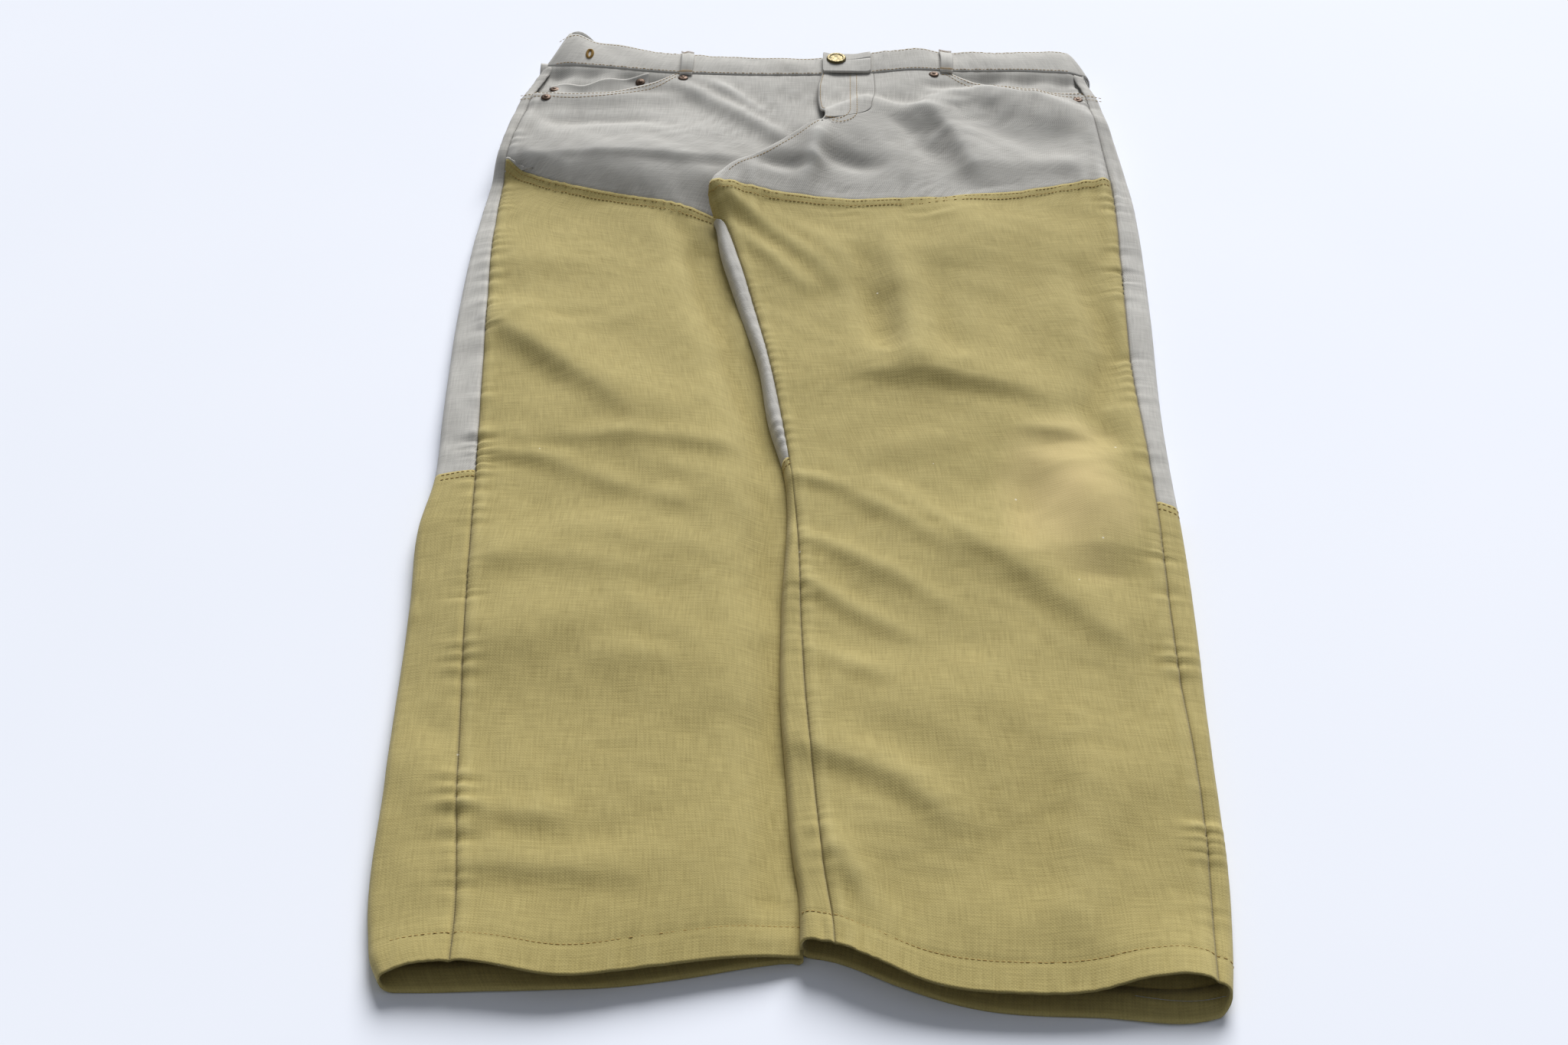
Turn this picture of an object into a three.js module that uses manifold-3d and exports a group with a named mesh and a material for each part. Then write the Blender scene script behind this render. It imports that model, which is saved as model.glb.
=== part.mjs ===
// Field trousers, lying flat with the front up, waist towards +Y and hems towards -Y.
// Soft panels are plain plates and flattened tubes; the button, zip, flap and rivets are full pieces.
// Units are millimetres. The trousers lie on z = 0, and the origin is under the middle of their box.
// "Right" and "left" are the wearer's, so the right leg is on the -X side.
import * as THREE from 'three';
import { mergeVertices } from 'three/addons/utils/BufferGeometryUtils.js';
import Module from 'manifold-3d';

const wasm = await Module();
wasm.setup();

// Lengths along the trousers.
const inseam = 762;
const rise = 200; // from the crotch to the lower edge of the waistband
const bandWidth = 40;
const kneeHeight = 366;
const hipBelowFly = 13; // hip fold, below the bottom of the fly
const facingAboveCrotch = 4;
const facingBelowHipAtRight = 27;
const facingBelowHipAtLeft = 44;
const yokeDepth = 62; // back yoke, below the waistband

// Half widths of the trousers lying flat.
const hemHalf = 234;
const kneeHalf = 255;
const thighHalf = 263;
const waistHalf = 228;

// Where the two legs meet, across the trousers.
const legsMeetAtHem = 2;
const legsMeetAtKnee = -10;
const crotchAcross = -79;
const legsApart = 2.4;

// Heights of the flattened tubes, cloth and gaps.
const legHeight = 24;
const seatHeight = 40;
const cloth = 2.4;
const gap = 0.3;
const edgeRadius = 9;

// Width of back panel that shows on the front, beside each seam.
const rightSideShowsAtHem = 45;
const rightSideShowsAtThigh = 13;
const leftSideShows = 15;
const inseamShows = 13;

// Fly, zip and button.
const flyEdge = 10; // free edge of the flap
const flyWidth = 42;
const flyLength = 104;
const flapCurve = 26;
const zipAcross = 24;
const zipHeight = 20.8; // middle of the chain
const chainThick = 2.5;
const toothPitch = 3.2;
const toothReach = 2.6;
const beadWidth = 1.5;
const rowsApart = 2.4;
const tapeThick = 0.8;
const tapeWidth = 10;
const shieldThick = 1.6;
const shieldUnder = 30; // of the shield, under the right front
const facingStep = 5; // slope of the shield and facing down to the zip
const sliderLength = 10;
const sliderWidth = 13;
const platesApart = 3.4;
const plateThick = 1.2;
const bailHeight = 3.1;
const bailWidth = 2;
const bailPost = 1.2;
const bailLength = 6.4;
const pullLength = 21;
const pullWidth = 6;
const pullThick = 1;
const pullEnd = 0.4; // of the pull, past the bail's middle
const slotEnd = 1.4; // metal left above its slot
const slotLong = 4.6;
const sliderPost = 1.4;
const sliderFlange = 0.8;
const stopLength = 3;
const chainAboveFly = 6;
const buttonAcross = 22;
const buttonAboveSeam = 12;
const buttonRadius = 8.5;
const buttonRoom = 1.2; // round the cap, in the tab
const capThick = 2.5;
const shankRadius = 3;
const shankStandsProud = 2;
const standReach = 24; // of the button stand, past the flap's free edge

// Pockets, belt loops, rivets.
const scoopWide = 122;
const scoopDeep = 48;
const scoopBendAcross = 0.88; // where its bend is, as a share of its width
const scoopBendUp = 0.04; // and of its depth
const facingUnderlap = 14;
const coinPocketWide = 66;
const coinPocketDeep = 20;
const coinPocketInset = 10; // below the waistband
const coinPocketFromSeam = 4;
const coinThick = 1.4;
const bagWide = 150;
const bagDeep = 108;
const bagThick = 2;
const bagCorner = 22; // cut off the bag's lower inner corner
const patchThick = 2.2;
const backPocketWide = 142;
const backPocketHigh = 126;
const backPocketPoint = 20;
const backPocketBelowYoke = 12;
const backPocketAcross = 112;
const loopWidth = 12;
const loopThick = 2.2;
const loopFromScoop = 11; // front loops, past the end of the scoop
const backLoopAcross = 150;
const rivetRadius = 4.5;
const rivetHeight = 1.2;
const eyeletWide = 9;
const eyeletLong = 15;
const eyeletThread = 3;
const eyeletThick = 1.2;
const eyeletFromEdge = 38;

const bandSeam = inseam + rise; // lower edge of the waistband
const length = bandSeam + bandWidth;
const flyBottom = bandSeam - flyLength;
const hipFold = flyBottom - hipBelowFly;
const facingTopAtCrotch = inseam + facingAboveCrotch;
const facingTopAtSide = { right: hipFold - facingBelowHipAtRight, left: hipFold - facingBelowHipAtLeft };
const flapHinge = flyEdge + flyWidth;
const frontUnderside = seatHeight - cloth;
const underSeat = patchThick + gap; // the seat's cloth lies on its pockets and belt loops

const cotton = (color) => new THREE.MeshStandardMaterial({ color, roughness: 0.95, metalness: 0 });
const metal = (color) => new THREE.MeshStandardMaterial({ color, roughness: 0.4, metalness: 1 });
const looks = {
  grey: cotton(0xa9a79c),
  tan: cotton(0xa0935a),
  lining: cotton(0xd8d4c6),
  thread: cotton(0xb98a45),
  brass: metal(0x8d7a4c),
  copper: metal(0xa5714a),
};

const trousers = new THREE.Group();
trousers.position.y = -length / 2;

function add(name, look, geometry) {
  const mesh = new THREE.Mesh(geometry, looks[look]);
  mesh.name = name;
  trousers.add(mesh);
  return mesh;
}

// --- The garment's outline -------------------------------------------------------------

const mix = THREE.MathUtils.lerp;
const ease = (from, to, v) => THREE.MathUtils.smoothstep(v, from, to);
const sides = [['right', -1], ['left', 1]];

function halfWidth(y) {
  const leg = mix(hemHalf, kneeHalf, Math.min(1, y / kneeHeight));
  const thigh = mix(leg, thighHalf, ease(kneeHeight, inseam, y));
  return mix(thigh, waistHalf, ease(inseam, length, y));
}

// The line where the legs meet, then the centre seam from the crotch to the flap's free edge.
function centre(y) {
  if (y >= inseam) return mix(crotchAcross, flyEdge, Math.min(1, (y - inseam) / (flyBottom - inseam)));
  const lower = mix(legsMeetAtHem, legsMeetAtKnee, Math.min(1, y / kneeHeight));
  const above = Math.max(0, (y - kneeHeight) / (inseam - kneeHeight));
  return lower + (crotchAcross - legsMeetAtKnee) * above ** 1.4;
}

const legTop = (y) => mix(legHeight, seatHeight, ease(inseam - 260, inseam, y));
const legBase = (y) => mix(0, underSeat, ease(inseam - 180, inseam - 60, y));

// Both edges and both seams of one leg at a height y: edge, seam, seam, edge, from -X to +X.
function legEdges(side, y) {
  if (side < 0) {
    const shows = mix(rightSideShowsAtHem, rightSideShowsAtThigh, ease(0, inseam, y));
    const inner = centre(y) - legsApart / 2;
    return [-halfWidth(y), -halfWidth(y) + shows, inner - inseamShows, inner];
  }
  const inner = centre(y) + legsApart / 2;
  return [inner, inner + inseamShows, halfWidth(y) - leftSideShows, halfWidth(y)];
}

// --- Solids ----------------------------------------------------------------------------

// A closed solid through rows of points that all have the same count.
function loft(rows) {
  const around = rows[0].length;
  const index = [];
  for (let i = 0; i + 1 < rows.length; i += 1) {
    for (let j = 0; j < around; j += 1) {
      const a = i * around + j;
      const b = i * around + ((j + 1) % around);
      index.push(a, b, a + around, b, b + around, a + around);
    }
  }
  const last = (rows.length - 1) * around;
  const face = rows[0].map(([x, , z]) => new THREE.Vector2(x, z));
  const turned = THREE.ShapeUtils.isClockWise(face);
  for (const [a, b, c] of THREE.ShapeUtils.triangulateShape(face, [])) {
    const [p, q] = turned ? [c, b] : [b, c];
    index.push(a, q, p, last + a, last + p, last + q);
  }
  const geometry = new THREE.BufferGeometry();
  geometry.setAttribute('position', new THREE.Float32BufferAttribute(rows.flat(2), 3));
  geometry.setIndex(index);
  return faceOut(geometry);
}

// Turns a closed geometry's faces outwards.
function faceOut(geometry) {
  const at = (i) => new THREE.Vector3().fromBufferAttribute(geometry.attributes.position, i);
  const index = Array.from(geometry.index.array);
  let volume = 0;
  for (let i = 0; i < index.length; i += 3) {
    volume += at(index[i]).dot(at(index[i + 1]).cross(at(index[i + 2])));
  }
  if (volume < 0) index.reverse();
  geometry.setIndex(index);
  return geometry;
}

const range = (from, to, steps) => Array.from({ length: steps + 1 }, (_, i) => mix(from, to, i / steps));

// An outline in X and Z, lofted through a list of heights y.
const tube = (outlineAt, heights) => loft(heights.map((y) => outlineAt(y).map(([x, z]) => [x, y, z])));

// A quarter turn about (x, z) that starts at so many quarters.
function turn(x, z, radius, quarters) {
  const parts = 3;
  return Array.from({ length: parts + 1 }, (_, i) => {
    const a = (quarters + i / parts) * Math.PI / 2;
    return [x + radius * Math.cos(a), z + radius * Math.sin(a)];
  });
}

// Back panel that wraps up round both edges of a flat tube and turns in on top: a flat C.
function wrap([low, lowSeam, highSeam, high], base, top) {
  const ring = (inset) => {
    const r = edgeRadius - inset;
    const [l, h, b, t] = [low + edgeRadius, high - edgeRadius, base + edgeRadius, top - edgeRadius];
    return [
      [lowSeam, top - inset], ...turn(l, t, r, 1), ...turn(l, b, r, 2),
      ...turn(h, b, r, 3), ...turn(h, t, r, 4), [highSeam, top - inset],
    ];
  };
  return [...ring(0), ...ring(cloth).reverse()];
}

// Half of that, from its seam on top, round one edge, to a seam underneath.
function halfWrap(side, edge, seam, underSeam, base, top) {
  const ring = (inset) => {
    const r = edgeRadius - inset;
    const [e, b, t] = [edge + edgeRadius, base + edgeRadius, top - edgeRadius];
    return [[seam, top - inset], ...turn(e, t, r, 1), ...turn(e, b, r, 2), [underSeam, base + inset]];
  };
  return [...ring(0), ...ring(cloth).reverse()].map(([x, z]) => [side < 0 ? x : -x, z]);
}

// A plate of cloth between two edges, each with its own list of heights.
function panel(lowEdge, lowHeights, highEdge, highHeights, topAt) {
  return loft(lowHeights.map((yl, i) => {
    const yh = highHeights[i];
    const [xl, xh, zl, zh] = [lowEdge(yl), highEdge(yh), topAt(yl), topAt(yh)];
    return [[xl, yl, zl - cloth], [xh, yh, zh - cloth], [xh, yh, zh], [xl, yl, zl]];
  }));
}

// A strip of even thickness through points [x, z], run from one height to another.
function strip(points, thick, from, to) {
  const v = points.map(([x, z]) => new THREE.Vector2(x, z));
  const off = (side) => v.map((p, i) => {
    const before = i > 0 ? p.clone().sub(v[i - 1]).normalize() : null;
    const after = i + 1 < v.length ? v[i + 1].clone().sub(p).normalize() : null;
    const [a, b] = [before ?? after, after ?? before];
    const across = new THREE.Vector2(-a.y - b.y, a.x + b.x).normalize();
    const reach = (thick / 2) / Math.abs(across.dot(new THREE.Vector2(-a.y, a.x)));
    return [p.x + side * reach * across.x, p.y + side * reach * across.y];
  });
  const outline = [...off(1), ...off(-1).reverse()];
  return tube(() => outline, [from, to]);
}

function slab(shape, bottom, thick) {
  const geometry = new THREE.ExtrudeGeometry(shape, { depth: thick, bevelEnabled: false, curveSegments: 8 });
  return geometry.translate(0, 0, bottom);
}

const shapeOf = (points) => new THREE.Shape(points.map(([x, y]) => new THREE.Vector2(x, y)));
const rectangle = (x0, x1, y0, y1) => shapeOf([[x0, y0], [x1, y0], [x1, y1], [x0, y1]]);

// A closed geometry as a solid for joining, and back.
function solid(geometry) {
  const bare = geometry.clone();
  bare.deleteAttribute('normal');
  bare.deleteAttribute('uv');
  const merged = mergeVertices(bare);
  return new wasm.Manifold(new wasm.Mesh({
    numProp: 3,
    vertProperties: new Float32Array(merged.attributes.position.array),
    triVerts: new Uint32Array(merged.index.array),
  }));
}

function fromSolid(manifold) {
  const mesh = manifold.getMesh();
  const geometry = new THREE.BufferGeometry();
  geometry.setAttribute('position', new THREE.BufferAttribute(mesh.vertProperties, 3));
  geometry.setIndex(new THREE.BufferAttribute(mesh.triVerts, 1));
  return geometry;
}

// --- Legs ------------------------------------------------------------------------------

const edgeOf = (side, which, inset) => (y) => legEdges(side, y)[which] + inset;

for (const [name, side] of sides) {
  const sideTop = facingTopAtSide[name];
  const [lowTop, highTop] = side < 0 ? [sideTop, facingTopAtCrotch] : [facingTopAtCrotch, sideTop];
  const backAt = (y) => wrap(legEdges(side, y), legBase(y), legTop(y));
  const baseTop = (y) => legTop(y) - cloth - gap;
  const lowSeam = edgeOf(side, 1, gap);
  const highSeam = edgeOf(side, 2, -gap);
  const lowBase = edgeOf(side, 0, edgeRadius + gap);
  const highBase = edgeOf(side, 3, -edgeRadius - gap);

  const shin = range(0, kneeHeight - gap, 4);
  add(`${name}_lower_back`, 'tan', tube(backAt, shin));
  add(`${name}_lower_front_base`, 'grey', panel(lowBase, shin, highBase, shin, baseTop));
  add(`${name}_lower_facing`, 'tan', panel(lowSeam, shin, highSeam, shin, legTop));

  const toCrotch = range(kneeHeight + gap, inseam, 7);
  const onwards = (top) => [...toCrotch, mix(inseam, top, 0.5), top];
  const thigh = [...onwards(sideTop), hipFold - gap];
  add(`${name}_thigh_back`, 'grey', tube(backAt, thigh));
  add(`${name}_thigh_front_base`, 'grey', panel(lowBase, thigh, highBase, thigh, baseTop));
  add(`${name}_thigh_facing`, 'tan', panel(lowSeam, onwards(lowTop), highSeam, onwards(highTop), legTop));
}

// --- Seat ------------------------------------------------------------------------------

// Places on the seat are worked out on the right, at -X, and turned over for the left.
const across = (side, x) => (side < 0 ? x : -x);
const seatSeam = (side, y) => (side < 0 ? rightSideShowsAtThigh : leftSideShows) - halfWidth(y);
const yokeSeam = bandSeam - yokeDepth;
const bandBottom = bandSeam + gap / 2;
const panelTop = bandSeam - gap / 2;
const scoopBottom = bandSeam - scoopDeep;
const scoopAtBand = (side) => seatSeam(side, scoopBottom) + scoopWide;

for (const [name, side] of sides) {
  const under = (y) => across(side, centre(y)) - gap / 2;
  const half = (y) => halfWrap(side, -halfWidth(y), seatSeam(side, y), under(y), underSeat, seatHeight);
  add(`${name}_seat_back`, 'grey', tube(half, range(hipFold + gap, yokeSeam - gap / 2, 3)));
  add(`${name}_back_yoke`, 'grey', tube(half, range(yokeSeam + gap / 2, panelTop, 2)));
}

// The flap's seam: down the hinge line and round in a J to the bottom of the fly.
function flapSeam(grow) {
  const x = flapHinge - gap + grow;
  const y = flyBottom + gap - grow;
  const curve = new THREE.QuadraticBezierCurve(
    new THREE.Vector2(x, y + flapCurve), new THREE.Vector2(x, y), new THREE.Vector2(x - flapCurve, y),
  );
  return [[x, panelTop], ...curve.getPoints(6).map((p) => [p.x, p.y])];
}

// Front panel, from the side seam and the pocket's scoop to the middle.
function frontPanel(side, middle) {
  const steps = 3;
  const seam = Array.from({ length: steps }, (_, i) => {
    const y = mix(hipFold + gap, scoopBottom, i / steps);
    return [across(side, seatSeam(side, y) + gap), y];
  });
  const start = seatSeam(side, scoopBottom) + gap;
  const curve = new THREE.QuadraticBezierCurve(
    new THREE.Vector2(start, scoopBottom),
    new THREE.Vector2(start + scoopWide * scoopBendAcross, scoopBottom + scoopDeep * scoopBendUp),
    new THREE.Vector2(scoopAtBand(side), panelTop),
  );
  const opening = curve.getPoints(8).map((p) => [across(side, p.x), p.y]);
  return shapeOf([...seam, ...opening, ...middle]);
}

const rightMiddle = [[flyEdge - gap, panelTop], [flyEdge - gap, flyBottom], [centre(hipFold) - gap / 2, hipFold + gap]];
const leftMiddle = [
  ...flapSeam(2 * gap), [flyEdge + gap / 2, flyBottom - gap], [centre(hipFold) + gap / 2, hipFold + gap],
];
add('right_front_panel', 'grey', slab(frontPanel(-1, rightMiddle), frontUnderside, cloth));
add('left_front_panel', 'grey', slab(frontPanel(1, leftMiddle), frontUnderside, cloth));

// Under each scoop: the facing that shows in it, and the pocket bag.
const facingBottom = frontUnderside - gap - cloth;
const bagBottom = facingBottom - gap - bagThick;

for (const [name, side] of sides) {
  const inset = edgeRadius + gap; // clear of the rounded edge of the seat
  const low = scoopBottom - facingUnderlap;
  const facing = [
    [inset - halfWidth(low), low], [inset - halfWidth(panelTop), panelTop],
    [scoopAtBand(side) + facingUnderlap, panelTop], [scoopAtBand(side), low],
  ].map(([x, y]) => [across(side, x), y]);
  add(`${name}_pocket_facing`, 'grey', slab(shapeOf(facing), facingBottom, cloth));
  const bagStart = inset - halfWidth(panelTop);
  const bagEnd = Math.min(bagStart + bagWide, -flapHinge - gap); // clear of the fly
  const bag = [
    [bagStart, panelTop], [bagEnd, panelTop],
    [bagEnd, panelTop - bagDeep + bagCorner], [bagEnd - bagCorner, panelTop - bagDeep],
    [bagStart, panelTop - bagDeep],
  ].map(([x, y]) => [across(side, x), y]);
  add(`${name}_pocket_bag`, 'lining', slab(shapeOf(bag), bagBottom, bagThick));
}

// Coin pocket on the right facing, inside the scoop.
const coinTop = panelTop - coinPocketInset;
const coinStart = seatSeam(-1, coinTop) + coinPocketFromSeam;
const coinEnd = coinStart + coinPocketWide;
const coinShape = rectangle(coinStart, coinEnd, coinTop - coinPocketDeep, coinTop);
add('coin_pocket', 'grey', slab(coinShape, frontUnderside, coinThick));

// Back pockets, each in two parts that meet at the hip fold.
for (const [name, side] of sides) {
  const x0 = across(side, -backPocketAcross) - backPocketWide / 2;
  const x1 = x0 + backPocketWide;
  const top = yokeSeam - backPocketBelowYoke;
  const low = top - backPocketHigh;
  const upper = rectangle(x0, x1, hipFold + gap, top);
  const lower = shapeOf([
    [x0, hipFold - gap], [x0, low], [(x0 + x1) / 2, low - backPocketPoint], [x1, low], [x1, hipFold - gap],
  ]);
  add(`${name}_back_pocket_top`, 'grey', slab(upper, 0, patchThick));
  add(`${name}_back_pocket_bottom`, 'grey', slab(lower, 0, patchThick));
}

// --- Waistband and button --------------------------------------------------------------

// Two halves that meet at the middle of the back; the left one stops at the tab's hinge.
for (const [name, side] of sides) {
  const end = side < 0 ? flyEdge - gap : -flapHinge - gap;
  const half = (y) => halfWrap(side, -halfWidth(y), end, -gap / 2, underSeat, seatHeight);
  add(`${name}_waistband`, 'grey', tube(half, range(bandBottom, length, 2)));
}

const standShape = rectangle(flyEdge - standReach / 2, flyEdge + standReach, bandBottom + gap, length - gap);
add('button_stand', 'grey', slab(standShape, facingBottom, cloth));

const buttonPlace = new THREE.Vector2(buttonAcross, bandSeam + buttonAboveSeam);
const tab = rectangle(flyEdge, flapHinge - gap, bandBottom, length);
const hole = new THREE.Path();
hole.absarc(buttonPlace.x, buttonPlace.y, buttonRadius + buttonRoom, 0, 2 * Math.PI, true);
tab.holes.push(hole);
add('waist_tab', 'grey', slab(tab, frontUnderside, cloth));

function turned(points, place, z) {
  const profile = points.map(([r, h]) => new THREE.Vector2(r, h));
  return new THREE.LatheGeometry(profile, 24).rotateX(Math.PI / 2).translate(place.x, place.y, z);
}

const shankTop = seatHeight + shankStandsProud;
const shankLong = shankTop - frontUnderside;
const shank = [[0, 0], [shankRadius, 0], [shankRadius, shankLong], [0, shankLong]];
add('button_shank', 'brass', turned(shank, buttonPlace, frontUnderside));
const [rim, dip] = [0.8, 0.5];
const cap = [
  [0, 0], [buttonRadius - rim, 0], [buttonRadius, rim], [buttonRadius, capThick - rim],
  [buttonRadius - rim, capThick], [buttonRadius - 3 * rim, capThick],
  [buttonRadius - 4 * rim, capThick - dip], [0, capThick - dip],
];
add('button_cap', 'brass', turned(cap, buttonPlace, shankTop + gap));

for (const [name, side] of sides) {
  const x = across(side, scoopAtBand(side) - loopFromScoop);
  const shape = rectangle(x - loopWidth / 2, x + loopWidth / 2, bandSeam - 2 * loopThick, length - gap);
  add(`${name}_front_loop`, 'grey', slab(shape, seatHeight + gap, loopThick));
}
for (const [name, x] of [['right', -backLoopAcross], ['middle', 0], ['left', backLoopAcross]]) {
  const shape = rectangle(x - loopWidth / 2, x + loopWidth / 2, bandSeam - 2 * loopThick, length - gap);
  add(`${name}_back_loop`, 'grey', slab(shape, 0, loopThick));
}

// Stitched eyelet on the right end of the waistband.
const eyelet = new THREE.Shape();
const eyeletPlace = new THREE.Vector2(eyeletFromEdge - halfWidth(bandSeam), bandSeam + bandWidth / 2);
eyelet.absellipse(eyeletPlace.x, eyeletPlace.y, eyeletWide / 2, eyeletLong / 2, 0, 2 * Math.PI);
const slit = new THREE.Path();
const [slitWide, slitLong] = [eyeletWide - 2 * eyeletThread, eyeletLong - 2 * eyeletThread];
slit.absellipse(eyeletPlace.x, eyeletPlace.y, slitWide / 2, slitLong / 2, 0, 2 * Math.PI, true);
eyelet.holes.push(slit);
add('side_eyelet', 'thread', slab(eyelet, seatHeight + gap, eyeletThick));

// --- Fly and zip -----------------------------------------------------------------------

const seam = flapSeam(0);
add('fly_flap', 'grey', slab(shapeOf([[flyEdge, panelTop], [flyEdge, flyBottom + gap], ...seam.reverse()]),
  frontUnderside, cloth));

const chainHalf = chainThick / 2;
const rowInner = rowsApart / 2;
const rowOuter = rowInner + toothReach + beadWidth;
const tapeInner = rowOuter + gap;
const sliderBottom = zipHeight - platesApart / 2 - plateThick;
const shieldTop = sliderBottom - 2 * gap;
const shieldMiddle = shieldTop - shieldThick / 2;
const facingEnd = zipAcross + tapeInner + beadWidth;
const facingHeight = zipHeight + tapeThick / 2 + gap + shieldThick / 2;
const hangs = frontUnderside - gap - shieldThick; // where the shield and facing meet the panels

const chainBottom = flyBottom + chainAboveFly;
const sliderRest = chainBottom + stopLength + gap + sliderLength / 2;
const rowStart = sliderRest + sliderLength / 2 + gap;
const rowEnd = panelTop - 2 * stopLength;

add('fly_shield', 'grey', strip([
  [flyEdge - shieldUnder, hangs], [flyEdge - 2.4 * facingStep, hangs],
  [flyEdge - facingStep, shieldMiddle], [flapHinge - facingStep, shieldMiddle],
], shieldThick, flyBottom + gap, panelTop));
add('fly_facing', 'grey', strip([
  [flapHinge - facingStep / 2, hangs], [flapHinge - facingStep, hangs],
  [facingEnd + 2 * facingStep, facingHeight], [facingEnd, facingHeight],
], shieldThick, rowStart, panelTop));

const tapeLevel = 3;
const tapeDrop = zipHeight - shieldTop - tapeThick;
add('zip_tape_right', 'grey', strip([
  [zipAcross - tapeInner, zipHeight], [zipAcross - tapeInner - tapeLevel, zipHeight],
  [zipAcross - tapeInner - tapeLevel - tapeDrop, shieldTop + tapeThick],
  [zipAcross - tapeInner - tapeWidth, shieldTop + tapeThick],
], tapeThick, chainBottom + stopLength + gap, panelTop));
add('zip_tape_left', 'grey', strip([
  [zipAcross + tapeInner, zipHeight], [zipAcross + tapeInner + tapeWidth, zipHeight],
], tapeThick, rowStart, panelTop));

// One row of teeth on its bead, seen from above.
function teeth(side, start) {
  const points = [];
  const at = (reach) => zipAcross + side * (rowOuter - reach);
  for (let y = start; y + toothPitch / 2 < rowEnd; y += toothPitch) {
    const tip = y + toothPitch / 2;
    points.push([at(beadWidth), y], [at(beadWidth + toothReach), y]);
    points.push([at(beadWidth + toothReach), tip], [at(beadWidth), tip]);
  }
  const outline = [[at(0), start], ...points, [at(0), points[points.length - 1][1]]];
  return shapeOf(side < 0 ? outline.reverse() : outline);
}

for (const [name, side] of sides) {
  const start = rowStart + (side < 0 ? 0 : toothPitch / 2);
  add(`zip_teeth_${name}`, 'brass', slab(teeth(side, start), zipHeight - chainHalf, chainThick));
  const [a, b] = [rowInner, rowOuter].map((x) => zipAcross + side * x);
  const stop = rectangle(Math.min(a, b), Math.max(a, b), rowEnd + gap, rowEnd + gap + stopLength);
  add(`zip_top_stop_${name}`, 'brass', slab(stop, zipHeight - chainHalf, chainThick));
}
const bottomStop = rectangle(zipAcross - rowOuter, zipAcross + rowOuter, chainBottom, chainBottom + stopLength);
add('zip_bottom_stop', 'brass', slab(bottomStop, shieldTop + gap, zipHeight + chainHalf - shieldTop - gap));

// Slider: two plates on a middle post, with flanges that hold the rows, and the bail on top.
function sliderBody() {
  const [w, p, f] = [sliderWidth / 2, sliderPost / 2, sliderFlange];
  const [low, high] = [platesApart / 2, platesApart / 2 + plateThick];
  const slot = tapeThick / 2 + gap;
  const half = [[p, -low], [w - f, -low], [w - f, -slot], [w, -slot], [w, -high]];
  const right = [...half, ...half.map(([x, z]) => [-x, z]).reverse()];
  const outline = [...right, ...right.map(([x, z]) => [x, -z]).reverse()];
  const section = outline.map(([x, z]) => [zipAcross + x, zipHeight + z]);
  const [from, to] = [sliderRest - sliderLength / 2, sliderRest + sliderLength / 2];
  const body = solid(tube(() => section, [from, to]));
  const bar = rectangle(-bailLength / 2, bailLength / 2, -gap, bailHeight);
  const window = shapeOf([
    [bailPost - bailLength / 2, gap / 2], [bailLength / 2 - bailPost, gap / 2],
    [bailLength / 2 - bailPost, bailHeight - bailPost], [bailPost - bailLength / 2, bailHeight - bailPost],
  ]);
  bar.holes.push(window);
  const bail = new THREE.ExtrudeGeometry(bar, { depth: bailWidth, bevelEnabled: false });
  bail.translate(0, 0, -bailWidth / 2).rotateX(Math.PI / 2).rotateZ(Math.PI / 2);
  bail.translate(zipAcross, sliderRest, zipHeight + high);
  return fromSolid(body.add(solid(bail)));
}
add('zip_slider', 'brass', sliderBody());

const pullHeight = zipHeight + platesApart / 2 + plateThick + (bailHeight - bailPost) / 2 - pullThick / 2;
const pull = rectangle(-pullWidth / 2, pullWidth / 2, -pullLength, pullEnd);
const slotTop = pullEnd - slotEnd;
const slotWide = bailWidth / 2 + 2 * gap;
pull.holes.push(shapeOf([
  [-slotWide, slotTop - slotLong], [slotWide, slotTop - slotLong], [slotWide, slotTop], [-slotWide, slotTop],
]));
add('zip_pull', 'brass', slab(pull, pullHeight, pullThick).translate(zipAcross, sliderRest, 0));

// --- Rivets ----------------------------------------------------------------------------

const dome = [
  [0, 0], [rivetRadius, 0], [rivetRadius, rivetHeight * 0.4], [rivetRadius * 0.7, rivetHeight], [0, rivetHeight],
];
const inFromEdge = rivetRadius + 2;

for (const [name, side] of sides) {
  const atSide = new THREE.Vector2(
    across(side, seatSeam(side, scoopBottom) + inFromEdge + gap), scoopBottom - inFromEdge,
  );
  const atBand = new THREE.Vector2(across(side, scoopAtBand(side) + inFromEdge), bandSeam - inFromEdge);
  add(`${name}_pocket_side_rivet`, 'copper', turned(dome, atSide, seatHeight + gap));
  add(`${name}_pocket_band_rivet`, 'copper', turned(dome, atBand, seatHeight + gap));
}
for (const [name, x] of [['outer', coinStart + inFromEdge], ['inner', coinEnd - inFromEdge]]) {
  const place = new THREE.Vector2(x, coinTop - inFromEdge);
  add(`coin_pocket_${name}_rivet`, 'copper', turned(dome, place, frontUnderside + coinThick + gap));
}

export default trousers;
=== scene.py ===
# %% [markdown]
# # Field trousers, lying flat with the front up
#
# The real garment is a pair of faded grey twill trousers with tan canvas facings sewn over the legs.
# It lies on a pale table, seen from the hems. Every cloth panel is made here as its own sheet, cut
# and folded where the real one is, round the hard parts that the CAD frame brings: button, zip
# slider, pull and stops. Sizes are in millimetres from the hems while a panel is shaped, and become
# metres in the frame's own place when its mesh is made.

# %% Load the frame
import math

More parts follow.
